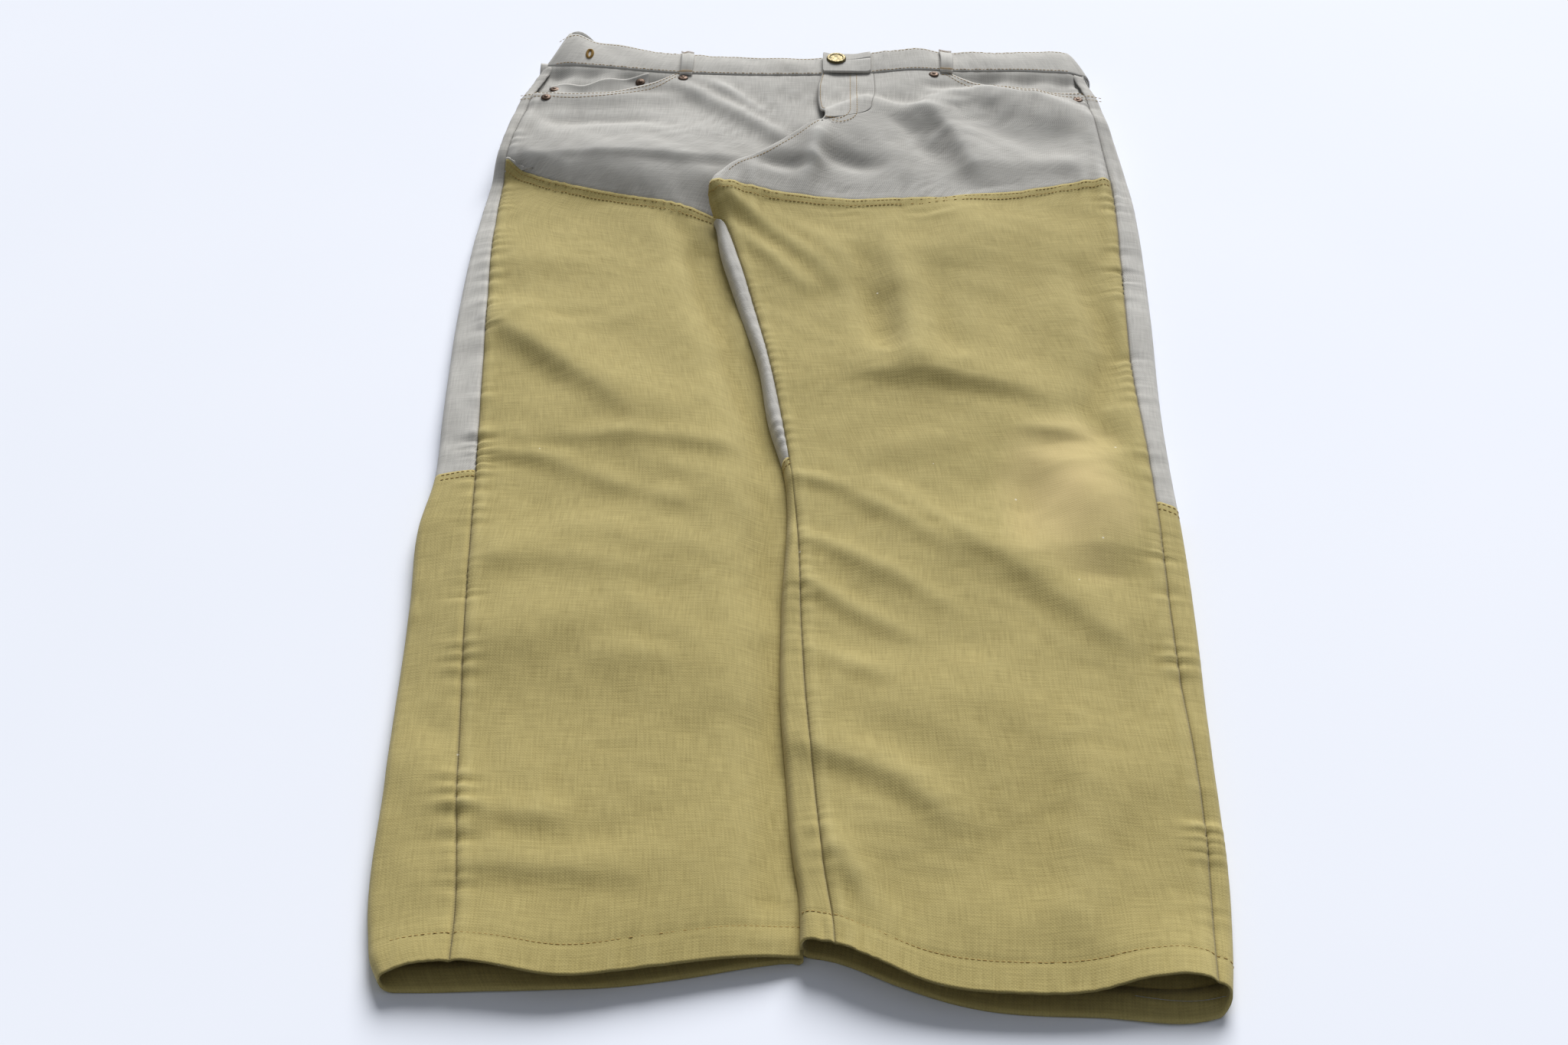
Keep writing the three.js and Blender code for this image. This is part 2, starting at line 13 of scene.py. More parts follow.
import bpy
import numpy as np
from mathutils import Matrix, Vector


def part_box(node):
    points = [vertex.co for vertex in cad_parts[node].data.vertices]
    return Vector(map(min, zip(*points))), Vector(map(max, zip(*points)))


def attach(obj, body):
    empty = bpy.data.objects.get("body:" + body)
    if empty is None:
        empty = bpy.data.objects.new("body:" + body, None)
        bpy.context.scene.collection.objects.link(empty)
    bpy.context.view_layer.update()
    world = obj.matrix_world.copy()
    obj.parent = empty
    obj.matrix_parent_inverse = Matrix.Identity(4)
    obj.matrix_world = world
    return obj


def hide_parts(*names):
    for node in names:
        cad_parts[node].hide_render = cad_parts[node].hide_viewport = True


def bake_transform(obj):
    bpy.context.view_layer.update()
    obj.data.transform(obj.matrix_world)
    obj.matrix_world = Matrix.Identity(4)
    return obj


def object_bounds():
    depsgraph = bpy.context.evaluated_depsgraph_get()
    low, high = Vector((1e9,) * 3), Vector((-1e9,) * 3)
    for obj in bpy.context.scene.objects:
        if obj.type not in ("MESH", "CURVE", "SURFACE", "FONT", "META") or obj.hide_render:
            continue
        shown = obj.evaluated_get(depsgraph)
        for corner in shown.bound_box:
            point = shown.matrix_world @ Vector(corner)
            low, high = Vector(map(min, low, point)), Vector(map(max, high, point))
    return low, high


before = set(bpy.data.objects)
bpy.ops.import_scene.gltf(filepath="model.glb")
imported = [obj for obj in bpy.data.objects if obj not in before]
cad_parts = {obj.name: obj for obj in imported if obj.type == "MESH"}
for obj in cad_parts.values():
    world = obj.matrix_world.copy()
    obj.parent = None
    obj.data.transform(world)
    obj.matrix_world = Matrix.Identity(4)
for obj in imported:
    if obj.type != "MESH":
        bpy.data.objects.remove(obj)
cad_box = [list(corner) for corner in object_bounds()]
MM = 0.001
HEM = cad_box[0][1]
print("CAD box", cad_box)

# %% [markdown]
# ## Soft lines, waves and folds
#
# Cloth has no corners, so every seam and outline is a smooth line through a few measured places.
# Random unevenness is a sum of waves with a fixed seed, and a fold is a ridge with a gentle side and
# a steep side. Adding these as heights is simple, always gives the same cloth, and keeps each fold
# where it belongs, which a simulation would not.


# %% Lines, waves and folds
def mix(a, b, t):
    return a + (b - a) * t


def ease(start, end, v):
    t = np.clip((v - start) / (end - start), 0, 1)
    return t * t * (3 - 2 * t)


def line(*points):
    """A smooth line through (along, value) points, level beyond its ends."""
    at, value = np.array(sorted(points), float).T
    slope = np.gradient(value, at)

    def along(v):
        v = np.clip(v, at[0], at[-1])
        i = np.clip(np.searchsorted(at, v, side="right") - 1, 0, len(at) - 2)
        step = at[i + 1] - at[i]
        t = (v - at[i]) / step
        start = (1 - t) ** 2 * ((1 + 2 * t) * value[i] + t * step * slope[i])
        return start + t * t * ((3 - 2 * t) * value[i + 1] + (t - 1) * step * slope[i + 1])

    return along


def waves(x, y, size, seed, stretch=1.0, turn=0.0):
    """Soft random waves about 1 high and size long, drawn out along a direction."""
    rng = np.random.default_rng(seed)
    along = (x * math.cos(turn) + y * math.sin(turn)) / stretch
    across = y * math.cos(turn) - x * math.sin(turn)
    total = 0
    for angle, wave, phase in rng.uniform((0, 0.7, 0), (2 * np.pi, 1.5, 2 * np.pi), (12, 3)):
        total = total + np.cos(
            (along * np.cos(angle) + across * np.sin(angle)) * 2 * np.pi / (wave * size) + phase
        )
    return total / math.sqrt(6)


FOLD_END = 26


def fold(x, y, left, right, *points):
    """A ridge through (x, y, height) points, left and right wide beside its run.

    It dies out over FOLD_END past both of its ends.
    """

    def beyond(last, before):
        dx, dy = last[0] - before[0], last[1] - before[1]
        reach = FOLD_END / math.hypot(dx, dy)
        return last[0] + dx * reach, last[1] + dy * reach, 0

    points = (beyond(points[0], points[1]), *points, beyond(points[-1], points[-2]))
    nearest = np.full(np.shape(x), 1e9)
    height = np.zeros(np.shape(x))
    for (x0, y0, h0), (x1, y1, h1) in zip(points, points[1:]):
        dx, dy = x1 - x0, y1 - y0
        t = np.clip(((x - x0) * dx + (y - y0) * dy) / (dx * dx + dy * dy), 0, 1)
        ox, oy = x - x0 - t * dx, y - y0 - t * dy
        away = np.hypot(ox, oy)
        width = np.where(dx * oy - dy * ox > 0, left, right)
        height = np.where(away < nearest, mix(h0, h1, t) * np.exp(-((away / width) ** 2)), height)
        nearest = np.minimum(nearest, away)
    return height


print("a line half way", line((0, 0), (1, 2), (2, 2))(0.5))

# %% [markdown]
# ## The outline
#
# These lines are the garment's pattern as it lies: where its sides and seams run, from the hems at 0
# to the waistband near 1000. Right and left are the wearer's, so the right leg is on the -X side.
# The left leg's inner edge lies on the right leg, and above the crotch it runs on as the ridge of
# the left front over the right one, up to the fly. The outline could be a drawn curve, but a smooth
# line can be asked for its value at any height, and every panel here needs that.

# %% Sides and seams
R, L = -1, 1
CROTCH = 762
FLY_BOTTOM = 858
side_edge = {
    R: line((0, -222), (14, -229), (35, -234), (152, -243), (310, -252), (372, -257), (430, -254),
            (501, -258), (617, -264), (713, -265), (861, -259), (935, -249), (983, -236), (1030, -216)),
    L: line((0, 238), (19, 241), (63, 246), (178, 250), (349, 256), (510, 256), (597, 260), (724, 264),
            (812, 263), (892, 254), (949, 245), (997, 230)),
}
out_seam = {
    R: line((0, -184), (37, -186), (148, -199), (290, -213), (433, -225), (610, -240), (739, -250),
            (841, -251), (900, -243), (935, -238), (975, -226)),
    L: line((0, 230), (99, 237), (282, 238), (398, 241), (579, 240), (704, 245), (815, 247), (892, 240),
            (949, 232), (980, 222)),
}
legs_meet = line((0, 4), (30, 5), (63, 4), (92, 0), (152, -5), (218, -10), (288, -11), (448, -14),
                 (492, -24), (564, -34), (642, -52), (715, -69), (750, -74), (770, -80), (786, -76),
                 (829, -30), (858, 0))
fly_seam = line((850, 2), (858, 4), (864, 13), (871, 27), (878, 41), (886, 50), (896, 52), (1000, 52))
left_edge = {
    R: line((0, 7), (63, 7), (152, -2), (288, -8), (448, -9), (564, -26), (642, -44), (715, -60),
            (762, -66), (790, -56), (829, -14), (850, 6), (870, 10), (1000, 10)),
    L: lambda y: np.where(y < FLY_BOTTOM, legs_meet(y), fly_seam(y)),
}
in_seam_left = line((0, 24), (29, 24), (86, 17), (140, 12), (211, 6), (281, 2), (356, -1), (439, -8),
                    (491, -15), (573, -28), (684, -51), (740, -66), (775, -79))
facing_top = {
    R: line((-265, 850), (-256, 841), (-213, 809), (-147, 784), (-79, 768), (-20, 760)),
    L: line((-90, 777), (-73, 777), (-19, 775), (69, 774), (139, 786), (247, 815), (262, 820)),
}
band_seam = line((-250, 984), (-215, 977), (-187, 969), (-118, 958), (-71, 956), (-3, 956), (52, 957),
                 (117, 961), (180, 965), (225, 969), (250, 972))
scoop = {
    R: line((-255, 931), (-232, 931), (-197, 927), (-157, 934), (-125, 949), (-112, 962)),
    L: line((112, 966), (125, 953), (157, 938), (197, 931), (232, 935), (255, 935)),
}
hem_front = {
    R: line((-230, 3), (-210, 7), (-181, 9), (-123, 3), (-80, 10), (-33, 19), (7, 24)),
    L: line((2, 29), (24, 24), (43, 15), (73, 2), (123, -4), (165, -2), (195, 5), (224, 6), (242, 0)),
}
hem_back = {
    R: line((-230, 0), (-173, 2), (-88, 8), (-4, 25)),
    L: line((4, 30), (22, 27), (61, 9), (103, -4), (166, -8), (225, -9), (242, -3)),
}
knee_seam = {
    R: line((-260, 431), (-225, 435), (-100, 440), (0, 445)),
    L: line((-20, 449), (0, 447), (120, 425), (242, 409), (260, 403)),
}

print("thighs across", side_edge[L](713) - side_edge[R](713))

# %% [markdown]
# ## The height of the cloth
#
# Each leg is two layers with a little air between them, so it lies like a flat pillow. At the seat
# the cloth rises over the folded pockets and the fly. The right front climbs in one steep slope
# behind its facing; the left front is thrown into a ridge that starts at the crotch and turns
# across the fly. Wide folds are placed one by one, and fine puckers follow the seams. Sculpting
# would do too, but a height that is worked out gives every panel and stitch row the same surface.

# %% Folds
folds = {
    R: [
        (26, 9, (-238, 838, 2), (-176, 829, 4), (-110, 824, 4), (-46, 828, 2.5)),
        (9, 10, (-115, 945, 2), (-60, 892, 4.5), (-25, 862, 3)),
        (7, 8, (-92, 952, 3), (-68, 925, 3.5), (-42, 898, 2)),
        (8, 14, (-230, 926, 2.5), (-180, 922, 3), (-130, 922, 2)),
        (14, 16, (-215, 862, 1), (-150, 872, 2), (-75, 862, 1.5)),
        (10, 10, (-205, 885, -2.5), (-150, 882, -3), (-110, 872, -1)),
        (30, 22, (-235, 690, 2), (-200, 690, 3), (-165, 700, 1)),
        (34, 13, (-228, 604, 4), (-180, 558, 5), (-145, 525, 4), (-118, 496, 2)),
        (12, 9, (-195, 466, 1), (-120, 470, 1.6), (-60, 462, 1.2)),
        (10, 8, (-212, 452, 1.8), (-185, 447, 1.6)),
        (14, 9, (-160, 436, 1.3), (-125, 416, 1.6), (-80, 400, 0.8)),
        (26, 15, (-200, 342, 2.2), (-150, 342, 2), (-60, 325, 1.6)),
        (18, 14, (-150, 372, 1.4), (-100, 362, 1.6), (-50, 345, 1)),
        (26, 20, (-190, 262, 1), (-120, 300, 1.2), (-60, 296, 1)),
        (16, 10, (-190, 122, 1.6), (-150, 118, 1.8)),
        (22, 11, (-175, 82, 1.8), (-120, 78, 2), (-90, 74, 1)),
        (14, 15, (-96, 742, -3), (-80, 690, -6), (-74, 650, -6), (-58, 590, -4.5), (-44, 530, -5),
         (-32, 480, -4), (-24, 400, -3), (-17, 250, -3), (-12, 60, -3)),
    ],
    L: [
        (10, 40, (-80, 780, 9), (-50, 813, 9), (-20, 840, 9), (5, 868, 8), (26, 888, 6), (40, 900, 4)),
        (9, 14, (45, 906, 3), (70, 897, 3.5), (92, 890, 3)),
        (14, 26, (92, 890, 4), (115, 912, 6), (150, 924, 7), (190, 920, 6), (235, 895, 4)),
        (24, 9, (104, 890, 3), (122, 860, 5), (136, 820, 4)),
        (8, 8, (-30, 808, -2.5), (-12, 808, -2.5)),
        (10, 10, (20, 822, -3), (44, 816, -3)),
        (14, 14, (86, 862, -2.5), (104, 836, -3)),
        (8, 9, (8, 842, 5), (4, 815, 5), (-2, 795, 2)),
        (18, 18, (66, 925, 1.5), (84, 950, 2)),
        (8, 8, (112, 938, -3), (150, 940, -3)),
        (22, 22, (160, 870, -3), (205, 865, -4)),
        (12, 12, (170, 826, 1), (215, 832, 1.5)),
        (10, 9, (-60, 764, 1.5), (-40, 742, 2.6), (-12, 712, 2.8), (10, 684, 2), (34, 646, 1)),
        (9, 8, (-50, 722, 1.6), (-28, 696, 2.2), (-6, 664, 1.6)),
        (10, 9, (-18, 742, 1.2), (6, 722, 1.6), (30, 690, 1.6), (44, 660, 1)),
        (16, 10, (60, 735, 0.8), (66, 700, 1.8), (75, 650, 2.8), (81, 600, 3.2), (80, 562, 2.6)),
        (30, 30, (118, 756, 3), (128, 735, 3), (125, 700, 2)),
        (20, 20, (172, 720, -1), (165, 660, -2), (150, 610, -1.5)),
        (12, 12, (100, 660, -1), (104, 610, -2), (108, 580, -1.5)),
        (12, 12, (40, 690, -2), (48, 640, -3), (58, 590, -3)),
        (30, 13, (52, 546, 2.6), (100, 541, 3.8), (145, 532, 3.4), (165, 524, 2.4)),
        (14, 14, (212, 680, -2), (222, 620, -4), (226, 580, -4), (216, 545, -4), (206, 510, -4),
         (212, 480, -4)),
        (12, 8, (167, 480, 1.7), (182, 478, 1.9)),
        (26, 24, (188, 440, 4), (198, 400, 5), (200, 355, 4)),
        (12, 12, (158, 420, -2), (152, 395, -3), (150, 372, -2)),
        (30, 12, (112, 362, 1.6), (142, 338, 3.2), (176, 302, 3.4), (200, 276, 2)),
        (16, 16, (60, 460, 1), (110, 470, 1)),
        (8, 7, (2, 424, 1.6), (16, 420, 1.6)),
        (9, 8, (42, 404, 1.3), (72, 380, 1.7), (100, 352, 1)),
        (9, 8, (60, 412, 1), (92, 384, 1.4), (112, 362, 0.8)),
        (9, 8, (6, 362, 1.3), (26, 352, 1.6), (60, 328, 1.4), (92, 300, 0.8)),
        (9, 8, (10, 318, 1.6), (40, 292, 1.8), (64, 274, 1)),
        (9, 8, (10, 258, 1), (40, 240, 1.2)),
        (18, 10, (14, 172, 2.2), (40, 160, 3), (68, 142, 3), (88, 120, 1.6)),
        (10, 8, (24, 96, 1.6), (36, 74, 2), (46, 54, 1.2)),
        (40, 40, (60, 220, 2), (110, 205, 3), (170, 190, 2)),
        (20, 16, (175, 150, 2), (168, 100, 3), (160, 50, 2)),
    ],
}
leg_thick = {
    R: line((0, 14), (60, 16), (200, 19), (400, 20), (600, 20), (700, 18), (800, 18)),
    L: line((0, 16), (60, 18), (300, 20), (450, 22), (600, 24), (700, 25), (800, 25)),
}
hem_lift = {
    R: line((-228, 4), (-205, 6), (-181, 6), (-123, 1), (-80, -1), (-33, -3), (5, -3)),
    L: line((8, 5), (24, 7), (43, 6), (73, 1), (123, -1), (165, 0), (195, 5), (222, 8), (238, 5)),
}
band_height = line((-240, 28), (-215, 34), (-190, 37), (-118, 38), (0, 38.5), (52, 40.5), (90, 43),
                   (117, 41), (200, 38), (230, 34), (246, 27))
crest = line((-262, 852), (-236, 844), (-176, 840), (-110, 831), (-44, 834), (0, 842))
LEG_FOLDS, SEAT_FOLDS = 1.75, 1.25
INNER_DROP = {R: 0.5, L: 0.12}
SEAT_HEIGHT = {R: 34, L: 37}
BAND_START, BAND_WHOLE = 925, 958
HEM_TURN = 21


def pucker(along, away, size, width, seed):
    """Small waves across a seam, drawn up by its thread."""
    phase = along / size + 0.7 * waves(along, 0 * along, 60, seed)
    strong = 0.6 + 0.4 * waves(along, 0 * along, 90, seed + 1)
    return strong * np.sin(2 * np.pi * phase) * np.exp(-((away / width) ** 2))


def top(side, x, y):
    """Height of the upper cloth at a place on one half of the trousers."""
    inner = legs_meet(np.minimum(y, 770)) + (3 if side == R else 0)
    outer = side_edge[side](y)
    across = np.clip(2 * (x - outer) / (inner - outer) - 1, -1, 1)
    leg = leg_thick[side](y) * (1 - np.where(across < 0, 0.38 * across**4, INNER_DROP[side] * across**6))
    leg = leg + hem_lift[side](x) * (1 - ease(-10, 70, y))
    seat = SEAT_HEIGHT[side] * (1 - 0.3 * np.abs(x / 262) ** 4)
    seat = seat + 4 * ease(900, 965, y)
    if side == R:
        slope_start = facing_top[R](np.maximum(x, -238)) - 10
        rise = ease(slope_start, np.maximum(crest(x) - 20, slope_start + 30), y)
        ridge = (x - legs_meet(np.clip(y, 300, 858))) / 34
        leg = leg - 1.5 * np.exp(-(ridge**2)) * ease(280, 480, y)
        seat = seat - 3.5 * np.exp(-(ridge**2)) * (1 - ease(850, 880, y))
    else:
        rise = ease(facing_top[L](x) - 14, facing_top[L](x) + 92, y)
    z = mix(leg, seat, rise)
    strength = mix(LEG_FOLDS, SEAT_FOLDS, rise)
    for left, right, *points in folds[side]:
        z = z + strength * fold(x, y, left, right, *points)
    calm = ease(0, 60, y) * (1 - 0.4 * ease(930, 960, y))
    bend = 14 * waves(x, y, 150, 31 + side)
    broad = 1.3 * waves(x + bend, y, 130, 3 + side, 1.2)
    z = z + calm * (broad + 0.34 * waves(x, y + bend, 64, 7 + side, 1.1))
    z = z + calm * 0.1 * waves(x + bend, y - bend, 28, 11 + side, 0.9) * (1 + rise)
    z = mix(z, band_height(x) - 1.2, ease(BAND_START, BAND_WHOLE, y))
    away = x - out_seam[side](y)
    z = z + 1.1 * pucker(y, away, 14, 12, 41 + side) * ease(10, 60, y)
    z = z - 1.5 * np.exp(-((away / 1.5) ** 2)) + 0.5 * np.exp(-(((away + side * 5) / 3.5) ** 2))
    if side == L:
        away = np.where(y < 785, x - in_seam_left(y), 99)
        z = z + 0.5 * pucker(y, away, 11, 9, 47) * ease(40, 90, y)
        z = z - 1.4 * np.exp(-((away / 1.4) ** 2)) + 0.6 * np.exp(-(((away - 5) / 3) ** 2))
    away = y - facing_top[side](x)
    drawn, wide = (0.75, 28) if side == L else (0.45, 14)
    z = z + drawn * pucker(x, away + 6, 10, wide, 51 + side)
    z = z + 0.45 * pucker(x, y - hem_front[side](x) - 8, 8.5, 12, 57 + side)
    away = y - hem_front[side](x) - HEM_TURN
    z = z - 0.5 * np.exp(-((away / 1.3) ** 2))
    return np.maximum(z, np.where(across < 0, 8.5, 7.5) + 1.0 * rise)


print("folds", {side: len(rows) for side, rows in folds.items()})

# %% [markdown]
# ## From pattern to place
#
# A sheet is a grid of points. Across the front a point is found by its flat distance from the inner
# edge: past the edge it goes on round it, as the cloth does. The back is the same cloth turned
# round both edges and lying underneath. Measuring round the roll keeps the threads at an even pitch.

# %% Points on the front and the back
QUARTER = math.pi / 2
FLOOR_GAP = 0.4


def roll_radius(side, y):
    base = 6 + 1.5 * (1 - ease(0, 60, y))
    return mix(base, 4.0, ease(CROTCH - 30, CROTCH + 20, y))


def under(side, x, y):
    """Height of the lower cloth, which lies on the back pockets at the seat."""
    wavy = 0.5 + 0.4 * waves(x, y, 70, 61 + side)
    return FLOOR_GAP + np.maximum(wavy, 0) + 2.8 * ease(CROTCH - 160, CROTCH - 60, y)


def edge_point(side, q, y, edge, inward, radius, rise, inset):
    """Place at a flat distance q from an edge: above 0 on top, below 0 round underneath."""
    a = np.clip(q / radius, -QUARTER, QUARTER)
    beyond = np.maximum(q - QUARTER * radius, 0)
    reach = np.maximum(radius * (1 - np.cos(a)), 0) + beyond
    x = edge + inward * (reach + inset * np.cos(a))
    flat_x = edge + inward * np.maximum(reach, radius)
    high = top(side, flat_x, y)
    rise = np.minimum(rise, high / 2 - 0.8) if rise is not None else (high - under(side, flat_x, y)) / 2
    return x, high - rise + (rise - inset) * np.sin(a)


def front_point(side, c, y, inset=0.0):
    """c runs from the outer seam, 0, to the inner end of the front, 1."""
    edge = left_edge[side](y)
    radius = roll_radius(side, y)
    fly = ease(FLY_BOTTOM - 12, FLY_BOTTOM + 2, y)
    radius = mix(radius, 0.6, fly)
    above = ease(CROTCH - 25, CROTCH + 8, y)
    if side == L:
        strip = np.maximum(in_seam_left(y) - edge, 0) + (QUARTER - 1) * radius
        end = mix(mix(strip, -QUARTER * radius, above), 0, fly)
    else:
        end = mix(0, -QUARTER * radius, above) * (1 - fly)
    start = np.abs(out_seam[side](y) - edge) + (QUARTER - 1) * radius
    q = mix(start, end, c)
    high_edge = top(side, edge + side * radius, y)
    rise = mix(high_edge / 2, 4.2, above)
    rise = mix(rise, 0.6, fly)
    x, z = edge_point(side, q, y, edge, side, radius, rise, inset)
    return x, z, q


def back_point(side, part, c, y, inset=0.0):
    """Part 0: the strip and roll at the outer side. Part 1: underneath. Part 2: the inner side."""
    radius = roll_radius(side, np.minimum(y, CROTCH - 40)) - 0.5
    outer, inner = side_edge[side](y), left_edge[side](np.minimum(y, CROTCH))
    above = ease(CROTCH - 25, CROTCH + 8, y)
    centre = np.where(y < CROTCH, -79, mix(-79, 4, np.clip((y - CROTCH) / 100, 0, 1)))
    if part == 0:
        start = np.abs(outer - out_seam[side](y)) + (QUARTER - 1) * radius
        q = mix(start, -QUARTER * radius, c)
        x, z = edge_point(side, q, y, outer, -side, radius, None, inset)
        return x, z, -q
    start = outer - side * radius
    stop = mix(inner + side * radius, centre, ease(CROTCH - 6, CROTCH + 60, y))
    if part == 1:
        x = mix(start, stop, c)
        return x, under(side, x, y) + inset, QUARTER * radius + np.abs(x - start)
    if side == L:
        top_end = np.maximum(in_seam_left(y) - inner, 0) + (QUARTER - 1) * radius
    else:
        top_end = 0
    end = mix(top_end, -QUARTER * radius, above)
    q = mix(-QUARTER * radius, end, c)
    x, z = edge_point(side, q, y, inner, side, radius, None, inset)
    x = x + (stop - inner - side * radius)
    base = QUARTER * radius + np.abs(stop - start)
    return x, z, base + QUARTER * radius + q


def spread(count, ends=0.6):
    """Numbers from 0 to 1, closer together near both ends."""
    t = np.linspace(0, 1, count)
    return mix(t, (1 - np.cos(np.pi * t)) / 2, ends)


# %% [markdown]
# ## Shader groups
#
# Cloth and metal share a few effects, so each is built once as a node group with named inputs:
# the weave, whose threads follow the piece's own flat pattern, the fading, which pales worn cloth
# and, as painted highlight, the raised folds, with painted shade in the hollows, and the tarnish of
# the brass and copper. Groups give only values and masks, and each material keeps its own shader,
# which is what an export can read.

# %% Node helpers
def new_group(name, inputs, outputs, kind_of_tree="ShaderNodeTree"):
    """A node tree with named inputs and outputs, and the nodes that stand for them inside it."""
    tree = bpy.data.node_groups.new(name, kind_of_tree)
    for label, kind, value in inputs:
        socket = tree.interface.new_socket(label, in_out="INPUT", socket_type=f"NodeSocket{kind}")
        if value is not None:
            socket.default_value = value
    for label, kind in outputs:
        tree.interface.new_socket(label, in_out="OUTPUT", socket_type=f"NodeSocket{kind}")
    return tree, tree.nodes.new("NodeGroupInput"), tree.nodes.new("NodeGroupOutput")


def link_all(tree, made, links):
    """links maps an input's name or number to a socket or a value."""
    for key, value in links.items():
        if isinstance(value, bpy.types.NodeSocket):
            tree.links.new(value, made.inputs[key])
        else:
            made.inputs[key].default_value = value


def node(tree, kind, links=None, **settings):
    """Adds a node, with its settings first, because they can change its inputs."""
    made = tree.nodes.new(kind)
    for key, value in settings.items():
        setattr(made, key, value)
    link_all(tree, made, links or {})
    return made


def maths(tree, operation, a, b=0.0, clamp=False, plus=0.0):
    links = {0: a, 1: b, 2: plus}
    return node(tree, "ShaderNodeMath", links, operation=operation, use_clamp=clamp).outputs[0]


def noise(tree, vector, scale, detail=2.0, rough=0.5):
    links = {"Vector": vector, "Scale": scale, "Detail": detail, "Roughness": rough}
    return node(tree, "ShaderNodeTexNoise", links).outputs["Fac"]


# %% The weave
weave, given, gives = new_group(
    "weave",
    [("Threads", "Vector", None), ("Per metre", "Float", 900.0), ("Twill", "Float", 0.0),
     ("Slubs", "Float", 0.4)],
    [("Height", "Float"), ("Light thread", "Float")],
)
scaled = node(weave, "ShaderNodeVectorMath", {0: given.outputs["Threads"]}, operation="SCALE")
weave.links.new(given.outputs["Per metre"], scaled.inputs["Scale"])
wobble = noise(weave, given.outputs["Threads"], 260.0, 2.0)
split = node(weave, "ShaderNodeSeparateXYZ", {0: scaled.outputs[0]})
u = maths(weave, "ADD", split.outputs[0], maths(weave, "MULTIPLY", wobble, 2.2))
v = maths(weave, "ADD", split.outputs[1], maths(weave, "MULTIPLY", wobble, -1.8))
over, under_it = (maths(weave, "SINE", maths(weave, "MULTIPLY", way, math.pi)) for way in (u, v))
plain = maths(weave, "MULTIPLY", over, under_it)
diagonal = maths(weave, "SINE", maths(weave, "MULTIPLY", maths(weave, "ADD", u, v), math.pi))
blend_weave = node(weave, "ShaderNodeMix", {0: given.outputs["Twill"], 2: plain, 3: diagonal})
slubs = []
for drawn_out in ((1.0, 0.06, 1.0), (0.06, 1.0, 1.0)):
    links = {"Vector": given.outputs["Threads"], "Scale": drawn_out}
    streak = node(weave, "ShaderNodeMapping", links)
    slubs.append(noise(weave, streak.outputs[0], 900.0, 1.0))
slub = maths(weave, "SUBTRACT", maths(weave, "ADD", *slubs), 1.0)
uneven = maths(weave, "MULTIPLY", slub, given.outputs["Slubs"])
height = maths(weave, "MULTIPLY_ADD", blend_weave.outputs[0], 0.2, plus=0.5)
weave.links.new(maths(weave, "ADD", height, uneven), gives.inputs["Height"])
light = maths(weave, "MULTIPLY_ADD", blend_weave.outputs[0], 0.14, plus=0.62)
light = maths(weave, "ADD", light, maths(weave, "MULTIPLY", uneven, 2.2), True)
weave.links.new(light, gives.inputs["Light thread"])

# %% The fading and painted fold light
fading_and_fold_light, given, gives = new_group(
    "fading_and_fold_light",
    [("Place", "Vector", None), ("Wear and fold light", "Float", 0.5), ("Patch size", "Float", 9.0),
     ("Strength", "Float", 0.5)],
    [("Pale", "Float"), ("Dirt", "Float"), ("Speck", "Float")],
)
patches = noise(fading_and_fold_light, given.outputs["Place"], given.outputs["Patch size"], 4.0, 0.6)
fine = noise(fading_and_fold_light, given.outputs["Place"], 130.0, 4.0, 0.65)
# The wear input carries real wear and, from the fold heights, painted highlight and shade.
rubbed_and_fold_lit = maths(fading_and_fold_light, "MULTIPLY", given.outputs["Wear and fold light"], maths(fading_and_fold_light, "ADD", fine, 0.45))
patchy = maths(fading_and_fold_light, "MULTIPLY", maths(fading_and_fold_light, "SUBTRACT", patches, 0.5), given.outputs["Strength"])
fading_and_fold_light.links.new(maths(fading_and_fold_light, "ADD", rubbed_and_fold_lit, patchy, True), gives.inputs["Pale"])
low = noise(fading_and_fold_light, given.outputs["Place"], 21.0, 5.0, 0.7)
dirt = maths(fading_and_fold_light, "MULTIPLY", maths(fading_and_fold_light, "SUBTRACT", low, 0.54), 3.0, True)
fading_and_fold_light.links.new(maths(fading_and_fold_light, "MULTIPLY", dirt, given.outputs["Strength"]), gives.inputs["Dirt"])
cells = node(fading_and_fold_light, "ShaderNodeTexVoronoi", {"Vector": given.outputs["Place"], "Scale": 55.0})
near = maths(fading_and_fold_light, "LESS_THAN", cells.outputs["Distance"], 0.045)
few = node(fading_and_fold_light, "ShaderNodeSeparateColor", {0: cells.outputs["Color"]})
speck = maths(fading_and_fold_light, "MULTIPLY", near, maths(fading_and_fold_light, "GREATER_THAN", few.outputs[0], 0.93))
fading_and_fold_light.links.new(speck, gives.inputs["Speck"])

# %% The tarnish
tarnish, given, gives = new_group(
    "tarnish", [("Place", "Vector", None), ("Amount", "Float", 0.5)],
    [("Dull", "Float"), ("Scratch", "Float")],
)
mottle = maths(tarnish, "SUBTRACT", noise(tarnish, given.outputs["Place"], 420.0, 6.0, 0.7), 0.3)
spread_out = maths(tarnish, "MULTIPLY", given.outputs["Amount"], 3.0)
tarnish.links.new(maths(tarnish, "MULTIPLY", mottle, spread_out, True), gives.inputs["Dull"])
tarnish.links.new(noise(tarnish, given.outputs["Place"], 2600.0, 3.0, 0.6), gives.inputs["Scratch"])
print("groups", [tree.name for tree in (weave, fading_and_fold_light, tarnish)])

